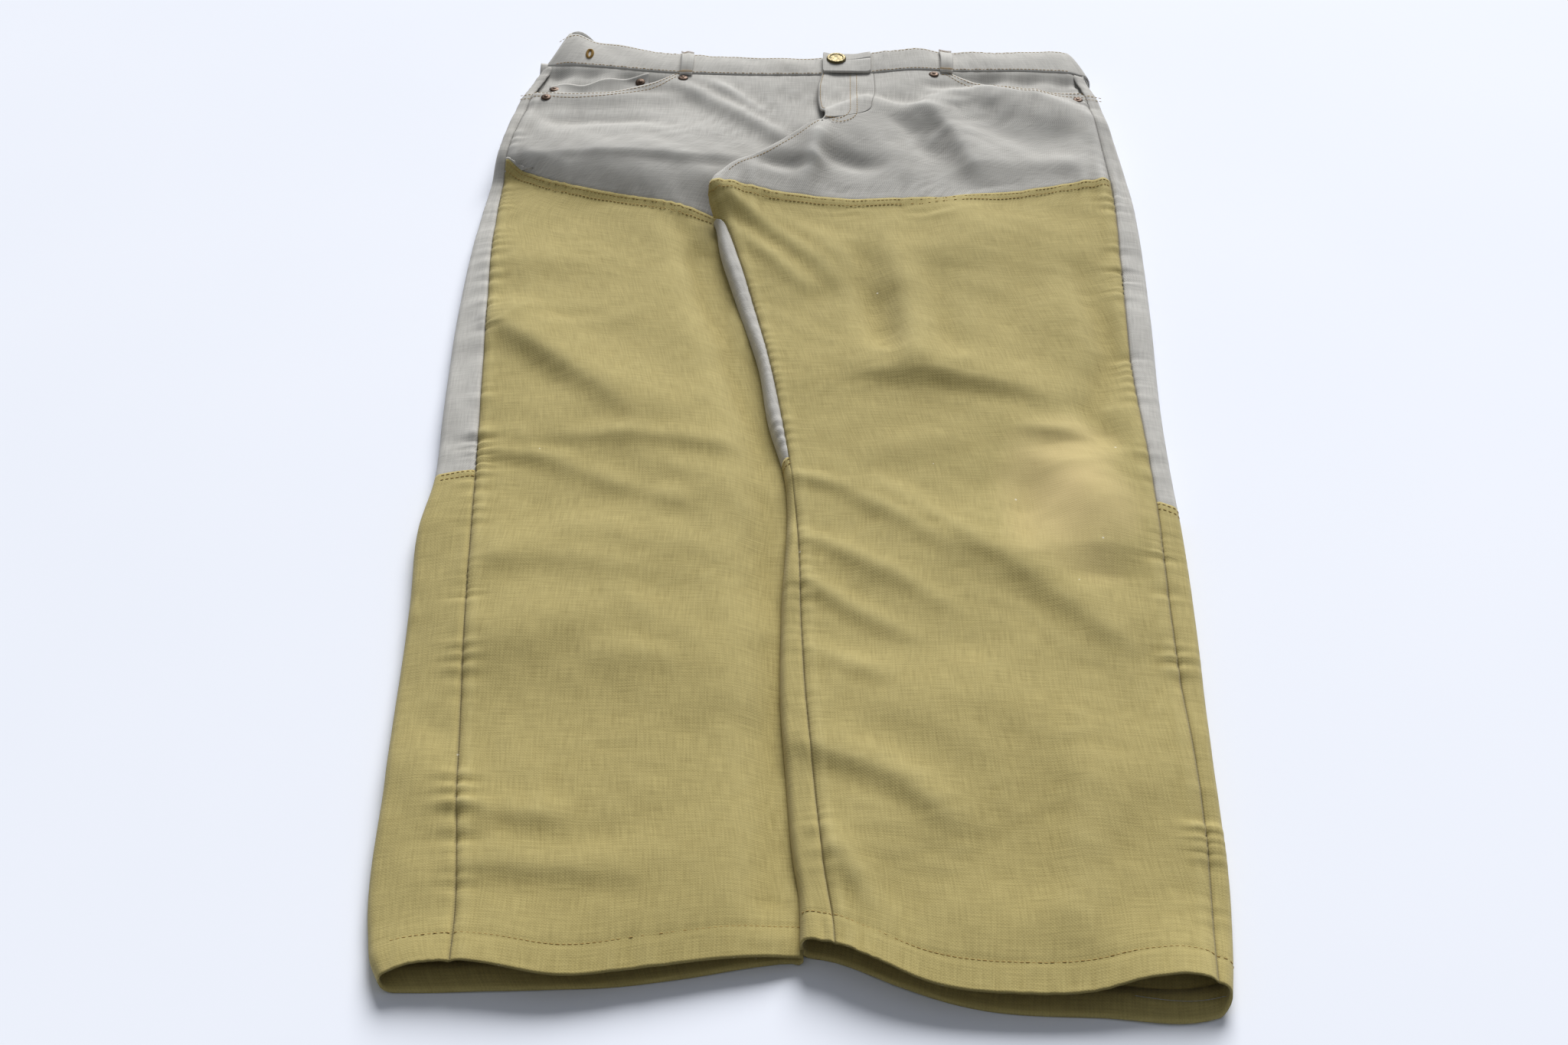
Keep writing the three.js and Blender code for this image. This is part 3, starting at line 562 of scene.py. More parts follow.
# %% [markdown]
# ## Materials
#
# Cloth is rough and a little fuzzy, so it gets a broad sheen and no gloss. Its colour is mixed
# from the thread colours by the weave, then paled by wear and by a painted highlight on the fold
# ridges, with painted shade in the hollows, and warmed by dust. The tan canvas has faded more orange
# where the left knee was rubbed. An image could carry all this, but worked out from the place and
# the threads it is sharp at every distance and never repeats.


# %% Cloth and metal
def colour(code):
    """Linear colour of a #RRGGBB code."""
    parts = [int(code[i : i + 2], 16) / 255 for i in (1, 3, 5)]
    return (*[p / 12.92 if p <= 0.04045 else ((p + 0.055) / 1.055) ** 2.4 for p in parts], 1.0)


def mixed(tree, factor, a, b):
    made = node(tree, "ShaderNodeMix", {0: factor, 6: a, 7: b}, data_type="RGBA")
    return made.outputs[2]


def new_material(name, view):
    material = bpy.data.materials.new(name)
    material.use_nodes = True
    material.diffuse_color = colour(view)
    tree = material.node_tree
    return material, tree, tree.nodes["Principled BSDF"]


def cloth(name, colours, threads, twill, slubs, patch, strength, bump, knee=None):
    """colours: dark and light thread, worn cloth (also used as painted highlight on fold ridges) and dust.
    threads is their count in a metre.
    """
    dark, base, pale, dust = colours
    material, tree, shader = new_material(name, base)
    place = node(tree, "ShaderNodeTexCoord").outputs["Object"]
    pattern = node(tree, "ShaderNodeUVMap", uv_map="cut").outputs[0]
    wear_and_fold_light = node(tree, "ShaderNodeAttribute", attribute_name="wear_and_fold_light").outputs["Fac"]
    thread = node(tree, "ShaderNodeGroup", node_tree=weave)
    link_all(tree, thread, {"Threads": pattern, "Per metre": threads, "Twill": twill, "Slubs": slubs})
    fade_and_fold_light = node(tree, "ShaderNodeGroup", node_tree=fading_and_fold_light)
    link_all(tree, fade_and_fold_light, {"Place": place, "Wear and fold light": wear_and_fold_light, "Patch size": patch, "Strength": strength})
    woven = mixed(tree, thread.outputs["Light thread"], colour(dark), colour(base))
    # Paled where worn and, as painted highlight, on fold ridges; less in hollows as painted shade.
    woven = mixed(tree, maths(tree, "MULTIPLY", fade_and_fold_light.outputs["Pale"], 0.8, True), woven, colour(pale))
    woven = mixed(tree, maths(tree, "MULTIPLY", fade_and_fold_light.outputs["Dirt"], 0.35), woven, colour(dust))
    if knee:
        at, size, faded = knee
        off = node(tree, "ShaderNodeVectorMath", {0: place, 1: at}, operation="SUBTRACT")
        flat = node(tree, "ShaderNodeVectorMath", {0: off.outputs[0], 1: size}, operation="DIVIDE")
        far = node(tree, "ShaderNodeVectorMath", {0: flat.outputs[0]}, operation="LENGTH")
        blotch = maths(tree, "MULTIPLY", noise(tree, place, 16.0, 3.0), 1.1)
        spot = maths(tree, "SUBTRACT", maths(tree, "ADD", blotch, 0.35), far.outputs["Value"], True)
        woven = mixed(tree, spot, woven, colour(faded))
    woven = mixed(tree, maths(tree, "MULTIPLY", fade_and_fold_light.outputs["Speck"], 0.7), woven, colour("#E6DFCB"))
    rough = maths(tree, "MULTIPLY_ADD", thread.outputs["Height"], -0.12, plus=0.95)
    fuzz = noise(tree, place, 1500.0, 2.0)
    relief = maths(tree, "ADD", thread.outputs["Height"], maths(tree, "MULTIPLY", fuzz, 0.4))
    lift = node(tree, "ShaderNodeBump", {"Height": relief, "Strength": bump, "Distance": 0.0003})
    link_all(tree, shader, {
        "Base Color": woven, "Roughness": rough, "Normal": lift.outputs[0],
        "Sheen Weight": 0.12, "Sheen Roughness": 0.6, "Specular IOR Level": 0.25,
    })
    return material


def metal(name, bright, dull, amount):
    material, tree, shader = new_material(name, bright)
    place = node(tree, "ShaderNodeTexCoord").outputs["Object"]
    film = node(tree, "ShaderNodeGroup", node_tree=tarnish)
    link_all(tree, film, {"Place": place, "Amount": amount})
    scratched = {"Height": film.outputs["Scratch"], "Strength": 0.25, "Distance": 0.0002}
    link_all(tree, shader, {
        "Base Color": mixed(tree, film.outputs["Dull"], colour(bright), colour(dull)),
        "Roughness": maths(tree, "MULTIPLY_ADD", film.outputs["Dull"], 0.25, plus=0.38),
        "Normal": node(tree, "ShaderNodeBump", scratched).outputs[0], "Metallic": 1.0,
    })
    return material


knee_fade = ((0.183, HEM + 0.41, 0.02), (0.062, 0.10, 0.1), "#D0BB82")
canvas = cloth("tan canvas", ("#8E7F48", "#B3A365", "#C6B87D", "#A88E49"), threads=1000, twill=0.0,
               slubs=0.5, patch=5.0, strength=0.35, bump=0.5, knee=knee_fade)
twill = cloth("grey twill", ("#94918B", "#C1BEB7", "#D6D4CE", "#ABA696"), threads=1150, twill=0.85,
              slubs=0.45, patch=8.0, strength=0.55, bump=0.55)
lining = cloth("pocket lining", ("#B9B4A4", "#D8D4C6", "#E4E1D6", "#C4BDA6"), threads=1400, twill=0.0,
               slubs=0.3, patch=9.0, strength=0.3, bump=0.4)
tape = cloth("zip tape", ("#87857B", "#A5A399", "#BBB9B0", "#96917F"), threads=1500, twill=1.0,
             slubs=0.2, patch=9.0, strength=0.3, bump=0.5)
tan_thread, grey_thread = (
    cloth(name, colours, threads=2600, twill=1.0, slubs=0.3, patch=30.0, strength=0.4, bump=0.8)
    for name, colours in (("tan thread", ("#9C7B3C", "#BC9855", "#CDB078", "#9B7C42")),
                          ("grey thread", ("#8B897F", "#B9B7AE", "#CBCAC3", "#9B978A")))
)
brass = metal("antique brass", "#877A55", "#453E2D", 0.85)
copper = metal("aged copper", "#6E5B4E", "#463B33", 0.85)
print("materials", len(bpy.data.materials))

# %% [markdown]
# ## Making a sheet
#
# One function turns a grid of points into a cloth sheet: a mesh with its flat pattern as a UV map in
# metres, a value for each point of wear, on some sheets with painted highlight on fold ridges and
# painted shade in hollows, and the cloth's real thickness from Solidify. The modifier is applied at
# once, so that each sheet is its final mesh. Stitches, teeth and rivets are grown on points by
# Geometry Nodes trees instead, so a helper for those stands here too.


# %% Sheet maker
pieces = {}
NO_AREA = 2e-9


def new_object(name, verts, faces, edges=()):
    mesh = bpy.data.meshes.new(name)
    mesh.from_pydata(verts, edges, faces)
    made = bpy.data.objects.new(name, mesh)
    bpy.context.scene.collection.objects.link(made)
    return made


def apply_modifiers(made):
    depsgraph = bpy.context.evaluated_depsgraph_get()
    final = bpy.data.meshes.new_from_object(made.evaluated_get(depsgraph), depsgraph=depsgraph)
    made.modifiers.clear()
    made.data = final
    return made


def grow(made, tree, **values):
    """Puts a tree on an object, sets the named inputs and keeps the plain mesh that comes out."""
    modifier = made.modifiers.new(tree.name, "NODES")
    modifier.node_group = tree
    for item in tree.interface.items_tree:
        if item.in_out == "INPUT" and item.name in values:
            modifier[item.identifier] = values[item.name]
    pieces[made.name] = apply_modifiers(made)


def end_tree(tree, instances, material, leave):
    """Ends a tree with real meshes that have their material."""
    real = node(tree, "GeometryNodeRealizeInstances", {"Geometry": instances})
    coated = node(tree, "GeometryNodeSetMaterial", {"Geometry": real.outputs[0], "Material": material})
    tree.links.new(coated.outputs[0], leave.inputs[0])


def wear_and_fold_light_of(side, x, y, near=7.0):
    """Wear and painted fold light: raised places are paler, as rubbed cloth and as painted highlight on the
    ridges, and hollows darker as painted shade; 0.5 on even cloth, up to 1 on a ridge.
    """
    beside = ((near, 0), (-near, 0), (0, near), (0, -near))
    around = sum(top(side, x + dx, y + dy) for dx, dy in beside)
    # Height above the neighbours sets the value: real wear plus painted highlight on ridges and painted
    # shade in hollows.
    return np.clip(0.22 + 0.35 * (top(side, x, y) - around / 4), 0, 1)


def sheet_mesh(name, x, y, z, u, v, material, thick=0.9, wear_and_fold_light=0.25, flip=False):
    """A sheet from grids in millimetres: columns across, rows along, both from low to high."""
    rows, columns = x.shape
    verts = np.stack([x * MM, y * MM + HEM, z * MM], -1).reshape(-1, 3)
    index = np.arange(rows * columns).reshape(rows, columns)
    quads = np.stack([index[:-1, :-1], index[:-1, 1:], index[1:, 1:], index[1:, :-1]], -1).reshape(-1, 4)
    if flip:
        quads = quads[:, ::-1]
    a, b, c, d = (verts[quads[:, i]] for i in range(4))
    area = np.linalg.norm(np.cross(c - a, d - b), axis=1)
    quads = quads[area > NO_AREA]
    made = new_object(f"{name}_cloth", verts, quads.tolist())
    mesh = made.data
    loops = np.empty(len(mesh.loops), int)
    mesh.loops.foreach_get("vertex_index", loops)
    flat = np.stack([np.broadcast_to(u, x.shape), np.broadcast_to(v, x.shape)], -1).reshape(-1, 2) * MM
    layer = mesh.uv_layers.new(name="cut")
    layer.data.foreach_set("uv", flat[loops].astype(np.float32).ravel())
    # Wear per point, on fold-shaped sheets with painted highlight on ridges and painted shade in hollows.
    rubbed_and_fold_lit = mesh.attributes.new("wear_and_fold_light", "FLOAT", "POINT")
    rubbed_and_fold_lit.data.foreach_set("value", np.broadcast_to(wear_and_fold_light, x.shape).astype(np.float32).ravel())
    mesh.materials.append(material)
    mesh.shade_smooth()
    wall = made.modifiers.new("cloth", "SOLIDIFY")
    wall.thickness, wall.offset = thick * MM, -1
    apply_modifiers(made)
    pieces[name] = made
    return made


def settle(side, c, rows, point, shift):
    """Finds x, y and z of grid points whose rows are moved along by shift(x, row)."""
    y = rows + 0 * c
    for _ in range(3):
        x, z, q = point(c, y)
        y = rows + shift(x, rows)
    x, z, q = point(c, y)
    return x, y, z, q


# %% [markdown]
# ## The leg facings
#
# Each facing is one length of canvas from the hem to the seat, sewn down at both seams and lapped
# over the grey front at the top. Its hem is turned up inside. A flat plane could be dropped on the
# leg, but laid by its own flat distance the canvas turns over the leg's edge without being
# stretched. The sheet crosses the knee.

# %% Leg facings
FACING_ROW = 790
side_name = {R: "right", L: "left"}


def hem_rows(stop, step=2.6):
    inside = np.array([-HEM_TURN, -14, -8, -4, -2, -1])
    return np.concatenate([inside, np.arange(0, stop, step), [stop]])[:, None]


def hem_inset(rows):
    return 1.7 * np.clip(-rows / 2.0, 0, 1)


for side in (R, L):
    c = spread(64)[None, :]
    rows = hem_rows(FACING_ROW)
    inset = hem_inset(rows)
    out = np.abs(rows)

    def shift(x, row, side=side):
        hem = hem_front[side](x) * (1 - ease(0, 130, row))
        return hem + (facing_top[side](x) - FACING_ROW) * ease(FACING_ROW - 260, FACING_ROW, row)

    x, y, z, q = settle(side, c, out, lambda c, y: front_point(side, c, y, inset), shift)
    z = z + 0.9 * ease(FACING_ROW - 12, FACING_ROW - 5, out)
    name = f"{side_name[side]}_leg_facing"
    # Its wear values carry painted highlight on fold ridges and painted shade in hollows.
    sheet_mesh(name, x, y, z, q, rows * np.ones_like(x), canvas, 1.0, wear_and_fold_light_of(side, x, y), flip=side == L)
    print(name, len(pieces[name].data.polygons))

# %% [markdown]
# ## The grey fronts
#
# The twill fronts show above the facings. They are cut away in a scoop at each pocket and meet at
# the fly. A boolean could cut the scoop, but it would leave a torn grid for the cloth's thickness.
# So the upper edge is a moving row: near the side it follows the scoop, elsewhere the seam of the
# waistband.

# %% Grey fronts
FRONT_LOW, FRONT_ROW = 748, 962
SCOOP_FROM = 111
for side in (R, L):
    c = spread(96, 0.35)[None, :]
    rows = np.arange(FRONT_LOW, FRONT_ROW + 0.1, 2.0)[:, None]

    def shift(x, row, side=side):
        scooped = side * x > SCOOP_FROM
        upper = np.where(scooped, np.minimum(scoop[side](x), band_seam(x)), band_seam(x))
        low = (facing_top[side](x) - 9 - FRONT_LOW) * (1 - ease(FRONT_LOW, FRONT_LOW + 90, row))
        return low + (upper - FRONT_ROW) * ease(FRONT_ROW - 90, FRONT_ROW, row)

    x, y, z, q = settle(side, c, rows, lambda c, y: front_point(side, c, y), shift)
    z = z - 0.9 * (1 - ease(facing_top[side](x) - 2, facing_top[side](x) + 3, y))
    name = f"{side_name[side]}_front"
    # Its wear values carry painted highlight on fold ridges and painted shade in hollows.
    sheet_mesh(name, x, y, z, q, y, twill, 0.9, wear_and_fold_light_of(side, x, y), flip=side == L)
    print(name, len(pieces[name].data.polygons))

# %% [markdown]
# ## The backs
#
# The back wraps round both edges of each leg and shows on the front as strips beside the seams.
# Below the knee it is canvas, above it twill, lapped where they meet. The upper back runs on to
# the waistband, through the yoke seam. Front and back could be one tube, but they are different
# cloths that meet in a seam, so each is a sheet and its strip is part of the back.

# %% Backs
COLUMNS = [(0, spread(22, 0)), (1, np.linspace(0, 1, 34)[1:]), (2, spread(20, 0)[1:])]
WAIST_BACK = 975


def back_shift(side, part, c, x, row):
    """Hem and waist lines of the back, met by the front ones at the sides."""
    down = ease(0.35, 1, c) if part == 0 else (1.0 if part == 1 else 1 - ease(0, 0.5, c))
    hem = mix(hem_front[side](x), hem_back[side](x), down) * (1 - ease(0, 130, row))
    waist = mix(band_seam(x), WAIST_BACK + 8 * np.abs(x / 240) ** 2, down) - FRONT_ROW
    return hem + waist * ease(FRONT_ROW - 90, FRONT_ROW, row)


def back_grid(side, rows, knee, inset=0.0):
    """All three parts of the back side by side; knee moves the rows near the knee seam."""
    grids = []
    for part, columns in COLUMNS:
        c = columns[None, :]
        grids.append(settle(
            side, c, rows, lambda c, y: back_point(side, part, c, y, inset),
            lambda x, row: back_shift(side, part, c, x, row) + knee(x, row),
        ))
    return [np.concatenate([grid[i] for grid in grids], axis=1) for i in range(4)]


KNEE_ROW, LAP = 400, 8
for side in (R, L):
    name = side_name[side]
    rows = hem_rows(KNEE_ROW)
    x, y, z, q = back_grid(
        side, np.abs(rows),
        lambda x, row: (knee_seam[side](x) - KNEE_ROW) * ease(300, KNEE_ROW, row), hem_inset(rows),
    )
    sheet_mesh(f"{name}_lower_back", x, y, z, q, rows * np.ones_like(x), canvas, 1.0, 0.25, flip=side == R)
    rows = np.concatenate([np.arange(KNEE_ROW, 880, 4.0), np.arange(880, FRONT_ROW + 0.1, 3.0)])[:, None]
    x, y, z, q = back_grid(
        side, rows,
        lambda x, row: (knee_seam[side](x) - LAP - KNEE_ROW) * (1 - ease(KNEE_ROW, 520, row)),
        0.9 * (1 - ease(404, 412, rows)),
    )
    sheet_mesh(f"{name}_upper_back", x, y, z, q, y, twill, 0.9, 0.3, flip=side == R)
    print(name, len(pieces[f"{name}_upper_back"].data.polygons))

# %% [markdown]
# ## The waistband
#
# The band is a strip of double twill: an outer face, turned over its top edge and hanging down
# inside. Each half runs from its front end round the side to the middle of the back. At the right
# side the back of the band stands up in a peak behind the front. A curve with a bevel would give
# a thick cord of cloth; a grid keeps the band thin, so that one can look into it from above.

# %% Waistband
BAND_INSIDE = 2.6
FLAP_HINGE = 52
SIDE_TURN = 8.0
TAB_SINK = 2.8
BAND_SIDE = {R: (237, 21), L: (244, 14)}
band_top = line((-222, 1012), (-208, 1018), (-191, 1012), (-120, 992), (-72, 987), (0, 985), (52, 987),
                (65, 989), (110, 994), (169, 998), (207, 1003), (232, 1004))
back_band_low = line((-230, 986), (-200, 980), (-100, 974), (0, 972), (120, 974), (230, 979))
back_band_top = line((-216, 1031), (-190, 1026), (-100, 1014), (0, 1011), (120, 1012), (230, 1012))


def front_band_height(x, w):
    """Height of the front band at a share w of its width, lower seam to top."""
    low = band_height(x)
    arch = 2.5 * np.exp(-(((x - 66) / 22) ** 2)) * w
    peak = 7.0 * np.exp(-(((x + 214) / 20) ** 2)) * w
    share = np.clip(w, 0, 1)
    swell = 1.5 * np.sin(np.pi * share) ** 0.7 - 0.7 + 0.8 * share * waves(x, 40 * w, 45, 71)
    drawn_up = pucker(x, 38 * w - 6, 9, 7, 91) + pucker(x, 38 * w - 33, 10, 6, 93)
    return low + arch + peak + swell + 0.4 * drawn_up


def band_grid(side, start, steps):
    """Rows run along the band and columns from its lower seam over the top edge to the inside."""
    share = np.linspace(0, 1, steps)[:, None]
    outer = np.linspace(0, 1, 16)
    over = np.linspace(0, np.pi, 6)[1:-1]
    w = np.concatenate([outer, np.ones(4), outer[::-1]])[None, :]
    lean = np.concatenate([0 * outer, np.sin(over), 0 * outer])[None, :]
    inside = np.concatenate([0 * outer, (1 - np.cos(over)) / 2, np.ones(16)])[None, :] * BAND_INSIDE
    widest, slant = BAND_SIDE[side]
    end = side * (widest - slant * w - SIDE_TURN)
    x = mix(start, end, share)
    low, high = band_seam(x) - 1.5, band_top(x)
    y_front = mix(low, high, w) + lean * BAND_INSIDE / 2
    z_front = front_band_height(x, w) - inside
    if side == L:
        z_front = z_front - TAB_SINK * (1 - ease(FLAP_HINGE - 2, FLAP_HINGE - 0.3, x))
    z_end = front_band_height(end, w)
    low_back = FLOOR_GAP + 3 + 1.5 * w
    lifted = (30 if side == R else 7) * w
    xb = mix(end, 0.0, np.linspace(0, 1, 60)[:, None])
    y_back = mix(back_band_low(xb), back_band_top(xb), w) + lean * BAND_INSIDE / 2
    near = np.exp(-((np.abs(xb - end) / 24) ** 2))
    z_back = low_back + inside + near * lifted + 0.5 * np.maximum(waves(xb, 30 * w, 70, 75), 0)
    t = np.linspace(0, np.pi, 14)[1:-1, None]
    down = (1 - np.cos(t)) / 2
    radius = SIDE_TURN - inside
    x_turn = end + side * radius * np.sin(t) ** 0.8
    y_end = mix(band_seam(end) - 1.5, band_top(end), w)
    y_other = mix(back_band_low(end), back_band_top(end), w)
    y_turn = mix(y_end, y_other, down) + lean * BAND_INSIDE / 2
    z_turn = mix(z_end - inside, low_back + inside + lifted, down)
    x = np.concatenate([x, x_turn, xb])
    y = np.concatenate([y_front, y_turn, y_back])
    z = np.concatenate([z_front, z_turn, z_back])
    along = np.concatenate([[0], np.cumsum(np.hypot(np.diff(x[:, 8]), np.diff(z[:, 8])))])[:, None]
    v = np.concatenate([outer * 38, 38 + np.linspace(0.5, 2.5, 4), 41 + outer * 38])[None, :]
    return x, y, z, along + 0 * v, v + 0 * along


for side, start in ((R, 12.0), (L, 47.0)):
    x, y, z, u, v = band_grid(side, start, 90)
    rub = np.clip(0.35 + 0.35 * np.exp(-(((v - 38) / 3) ** 2)) + 0.2 * np.exp(-((v / 3) ** 2)), 0, 1)
    sheet_mesh(f"{side_name[side]}_band", x, y, z, u, v, twill, 0.9, rub, flip=side == L)
    print(side_name[side], "band", len(pieces[f"{side_name[side]}_band"].data.polygons))

# %% [markdown]
# ## The fly flap and the tab
#
# The left front ends in a flap of double cloth that laps over the zip, and above it the band ends in
# a tab that the button holds. Both lift with the fly, so they are sheets of their own, cut at the
# line that they fold on. The tab has the button's hole in it: its rings of points start at the
# hole, which stays round, where a boolean would leave thin faces round it.

# %% Flap and tab
FLAP_TOP = 966
flap_edge = line((850, 8), (858, 10), (869, 12.5), (894, 8), (931, 6.5), (962, 10))


def flap_height(x, y):
    lift = 2.2 * np.exp(-(((x - flap_edge(y)) / 9) ** 2))
    return top(L, np.maximum(x, fly_seam(y) - 60), y) + lift * (1 - ease(30, 50, x))


c = spread(26, 0.3)[None, :]
rows = np.arange(FLY_BOTTOM, FLAP_TOP + 0.1, 2.0)[:, None]
seam_x = np.maximum(fly_seam(rows), flap_edge(rows) + 0.05)
x = mix(flap_edge(rows), seam_x, c)
y = rows + (band_seam(x) - BAND_WHOLE) * ease(900, BAND_WHOLE, rows)
round_edge = 1.6 * np.exp(-(x - flap_edge(rows)) / 1.2)
# Its wear values carry painted highlight on fold ridges and painted shade in hollows.
sheet_mesh("fly_flap", x, y, flap_height(x, y) - round_edge, x, y, twill, 2.0, wear_and_fold_light_of(L, x, y))

cap_low, cap_high = (np.array(corner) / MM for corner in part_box("button_cap"))
button_x = (cap_low[0] + cap_high[0]) / 2
button_y = (cap_low[1] + cap_high[1]) / 2 - HEM / MM
hole = (cap_high[0] - cap_low[0]) / 2 - 2.2
TAB_END = flap_edge(FRONT_ROW) + 0.3


def tab_grid():
    """Rings from the button's hole out to the tab's own outline."""
    angle = np.linspace(0, 2 * np.pi, 73)[None, :]
    share = np.linspace(0, 1, 16)[:, None]
    low, high = band_seam(button_x) - 1.2, band_top(button_x)

    def reach(way, least, most, centre):
        ahead, behind = (most - centre) / np.maximum(way, 1e-6), (least - centre) / np.minimum(way, -1e-6)
        return np.where(way > 0, ahead, behind)

    to_x = reach(np.cos(angle), TAB_END, FLAP_HINGE - 0.2, button_x)
    to_y = reach(np.sin(angle), low, high, button_y)
    r = mix(hole, np.maximum(np.minimum(to_x, to_y), hole + 0.4), share)
    return button_x + r * np.cos(angle), button_y + r * np.sin(angle)


x, y = tab_grid()
w = np.clip((y - band_seam(x)) / (band_top(x) - band_seam(x)), 0, 1)
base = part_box("waist_tab")[1][2] / MM
z = base - 0.4 + 0.8 * np.sin(np.pi * w) + 1.6 * np.exp(-(((x - TAB_END) / 5) ** 2)) * w
z = mix(z, front_band_height(x, w), ease(34, FLAP_HINGE, x))
sheet_mesh("waist_tab", x, y, z, x, y, twill, 2.2, 0.45)
print("flap and tab", len(pieces["fly_flap"].data.polygons), len(pieces["waist_tab"].data.polygons))

# %% [markdown]
# ## Pockets
#
# Each scoop shows a facing of the same twill a few millimetres further down, and on the right a coin
# pocket on that. Behind hangs a bag of thin cotton. The two back pockets lie underneath, against
# the table. They could be painted on the front, but as sheets that lie lower they cast the
# scoop's shadow and leave a real opening.


# %% Pocket sheets
def patch(name, x0, x1, y0, y1, height, material, thick, columns=30, rows=30, wear_and_fold_light=0.3, flip=False):
    """A sheet between two sides and two ends, each a number or a line."""
    c, r = np.linspace(0, 1, columns)[None, :], np.linspace(0, 1, rows)[:, None]
    xs = mix(x0, x1, c) + 0 * r
    low = y0(xs) if callable(y0) else y0
    high = y1(xs) if callable(y1) else y1
    ys = mix(low, high, r) + 0 * c
    return sheet_mesh(name, xs, ys, height(xs, ys), xs, ys, material, thick, wear_and_fold_light, flip)


def facing_height(side):
    """Height of the cloth inside a scoop, a few millimetres below the front."""

    def height(x, y):
        edge = side_edge[side](y) - side * 9
        inside = np.where(side * x > side * edge, edge, x)
        joins = 1 - ease(band_seam(x) - 16, band_seam(x) - 1, y)
        return top(side, inside, np.minimum(y, 956)) - (4.4 + 1.0 * waves(x, y, 40, 81)) * joins

    return height


BAG_LOW = 866
for side in (R, L):
    name, facing = side_name[side], facing_height(side)
    x0, x1 = sorted((side * 237, side * 96))
    patch(f"{name}_pocket_facing", x0, x1, lambda x: scoop[side](x) - 15, lambda x: band_seam(x) + 2,
          facing, twill, 0.9, 60, 26, 0.28)
    x0, x1 = sorted((side * 214, side * 76))
    patch(f"{name}_pocket_bag", x0, x1,
          lambda x: BAG_LOW + 0.0035 * np.maximum(np.abs(side * x - 140) - 40, 0) ** 2,
          lambda x: band_seam(x) - 2, lambda x, y: facing(x, y) - 3.4, lining, 0.6, 30, 26, 0.3)

coin_top = line((-228, 949), (-201, 945), (-139, 955))


def coin_height(x, y):
    return facing_height(R)(x, y) + 1.6 + 0.6 * np.exp(-(((y - coin_top(x)) / 3) ** 2))


patch("coin_pocket", -226, -140, lambda x: scoop[R](x) - 10, coin_top, coin_height, twill, 1.2, 40, 20, 0.4)

for side in (R, L):
    middle, half, low, high = side * 112, 71, 762, 888
    c, r = np.linspace(0, 1, 40)[None, :], np.linspace(0, 1, 44)[:, None]
    x = mix(middle - half, middle + half, c) + 0 * r
    point_low = low - 20 * (1 - np.abs(2 * c - 1))
    y = mix(point_low + 0 * r, high, r)
    z = 1.5 + 0.4 * waves(x, y, 60, 91 + side)
    sheet_mesh(f"{side_name[side]}_back_pocket", x, y, z, x, y, twill, 1.1, 0.35, flip=True)
print("pockets", [name for name in pieces if "pocket" in name])

# %% [markdown]
# ## Behind the fly
#
# The shield lies behind the zip and holds the right tape; the left tape is sewn to a facing inside
# the flap. They could be kept as the frame's plain solids, but an open fly shows their edges. So
# they are sheets that follow those solids, and the slider and the stops still sit on them.

# %% Fly pieces
UNDER_BAND, UNDER_TAB = 955, 984


def fly_height(name, low, high, thick):
    """Height of a sheet behind the fly, between the lowest and highest corner of its solid."""
    if name == "button_stand":
        return lambda x, y: np.minimum(band_height(x), 38.5) - 3.2 + 0 * y
    if name == "zip_tape_left":
        return lambda x, y: high[2] + 0.15 * waves(x, y, 12, 95)
    if name == "fly_shield":
        return lambda x, y: np.minimum(
            mix(high[2], low[2] + thick, ease(low[0] + 18, low[0] + 26, x)), top(R, np.minimum(x, 8), y) - 3)
    start = high[0] - (12 if name == "fly_facing" else 6.5)
    return lambda x, y: mix(low[2] + thick, high[2], ease(start, high[0] - 3, x))


for name, thick, material, upper in (
    ("fly_shield", 1.4, twill, UNDER_BAND), ("fly_facing", 1.4, twill, UNDER_BAND),
    ("zip_tape_right", 0.7, tape, UNDER_BAND), ("zip_tape_left", 0.7, tape, UNDER_BAND),
    ("button_stand", 1.8, twill, UNDER_TAB),
):
    low, high = (np.array(corner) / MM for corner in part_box(name))
    patch(name, low[0], high[0], low[1] - HEM / MM, min(high[1] - HEM / MM, upper),
          fly_height(name, low, high, thick), material, thick, 34, 40, 0.3)
    print(name, np.round(high - low, 1))

# %% [markdown]
# ## Belt loops
#
# A loop is a narrow folded strip, tacked at both ends and standing a little off the band between
# them. The front ones lie over the band and the back ones underneath it. A bent box would do, but
# a sheet like the others has the same threads and the worn edges that such a strip soon gets.


# %% Belt loops
LOOP_THICK = 1.9
front_loops = ((R, -108), (L, 117))


def loop_sheet(name, at, low, high, surface, up, width=11):
    c, r = np.linspace(-1, 1, 9)[None, :], np.linspace(0, 1, 26)[:, None]
    x = at + c * width / 2 + 0 * r + 0.8 * np.sin(3 * r) + 0 * c
    y = mix(low, high, r) + 0 * c
    arch = 2.6 * np.sin(np.pi * np.clip((r - 0.06) / 0.88, 0, 1)) ** 0.6
    edges = 0.5 * (1 - np.abs(c) ** 4)
    z = surface(x, y) + up * (1.3 + arch + edges)
    if up < 0:
        z = np.maximum(z, LOOP_THICK)
    sheet_mesh(name, x, y, z, x, y, twill, LOOP_THICK, 0.5 + 0.2 * np.abs(c), flip=up < 0)


def band_surface(x, y):
    w = (y - band_seam(x)) / (band_top(x) - band_seam(x))
    return front_band_height(x, np.clip(w, 0, 1))


for side, at in front_loops:
    loop_sheet(f"{side_name[side]}_front_loop", at, band_seam(at) - 5, band_top(at) - 0.5, band_surface, 1)
for name, at in (("right", -150), ("middle", 0), ("left", 150)):
    loop_sheet(f"{name}_back_loop", at, back_band_low(at) - 4, back_band_top(at) - 1,
               lambda x, y: 4.2 + 0 * x, -1, 12)
print("sheets", len(pieces))

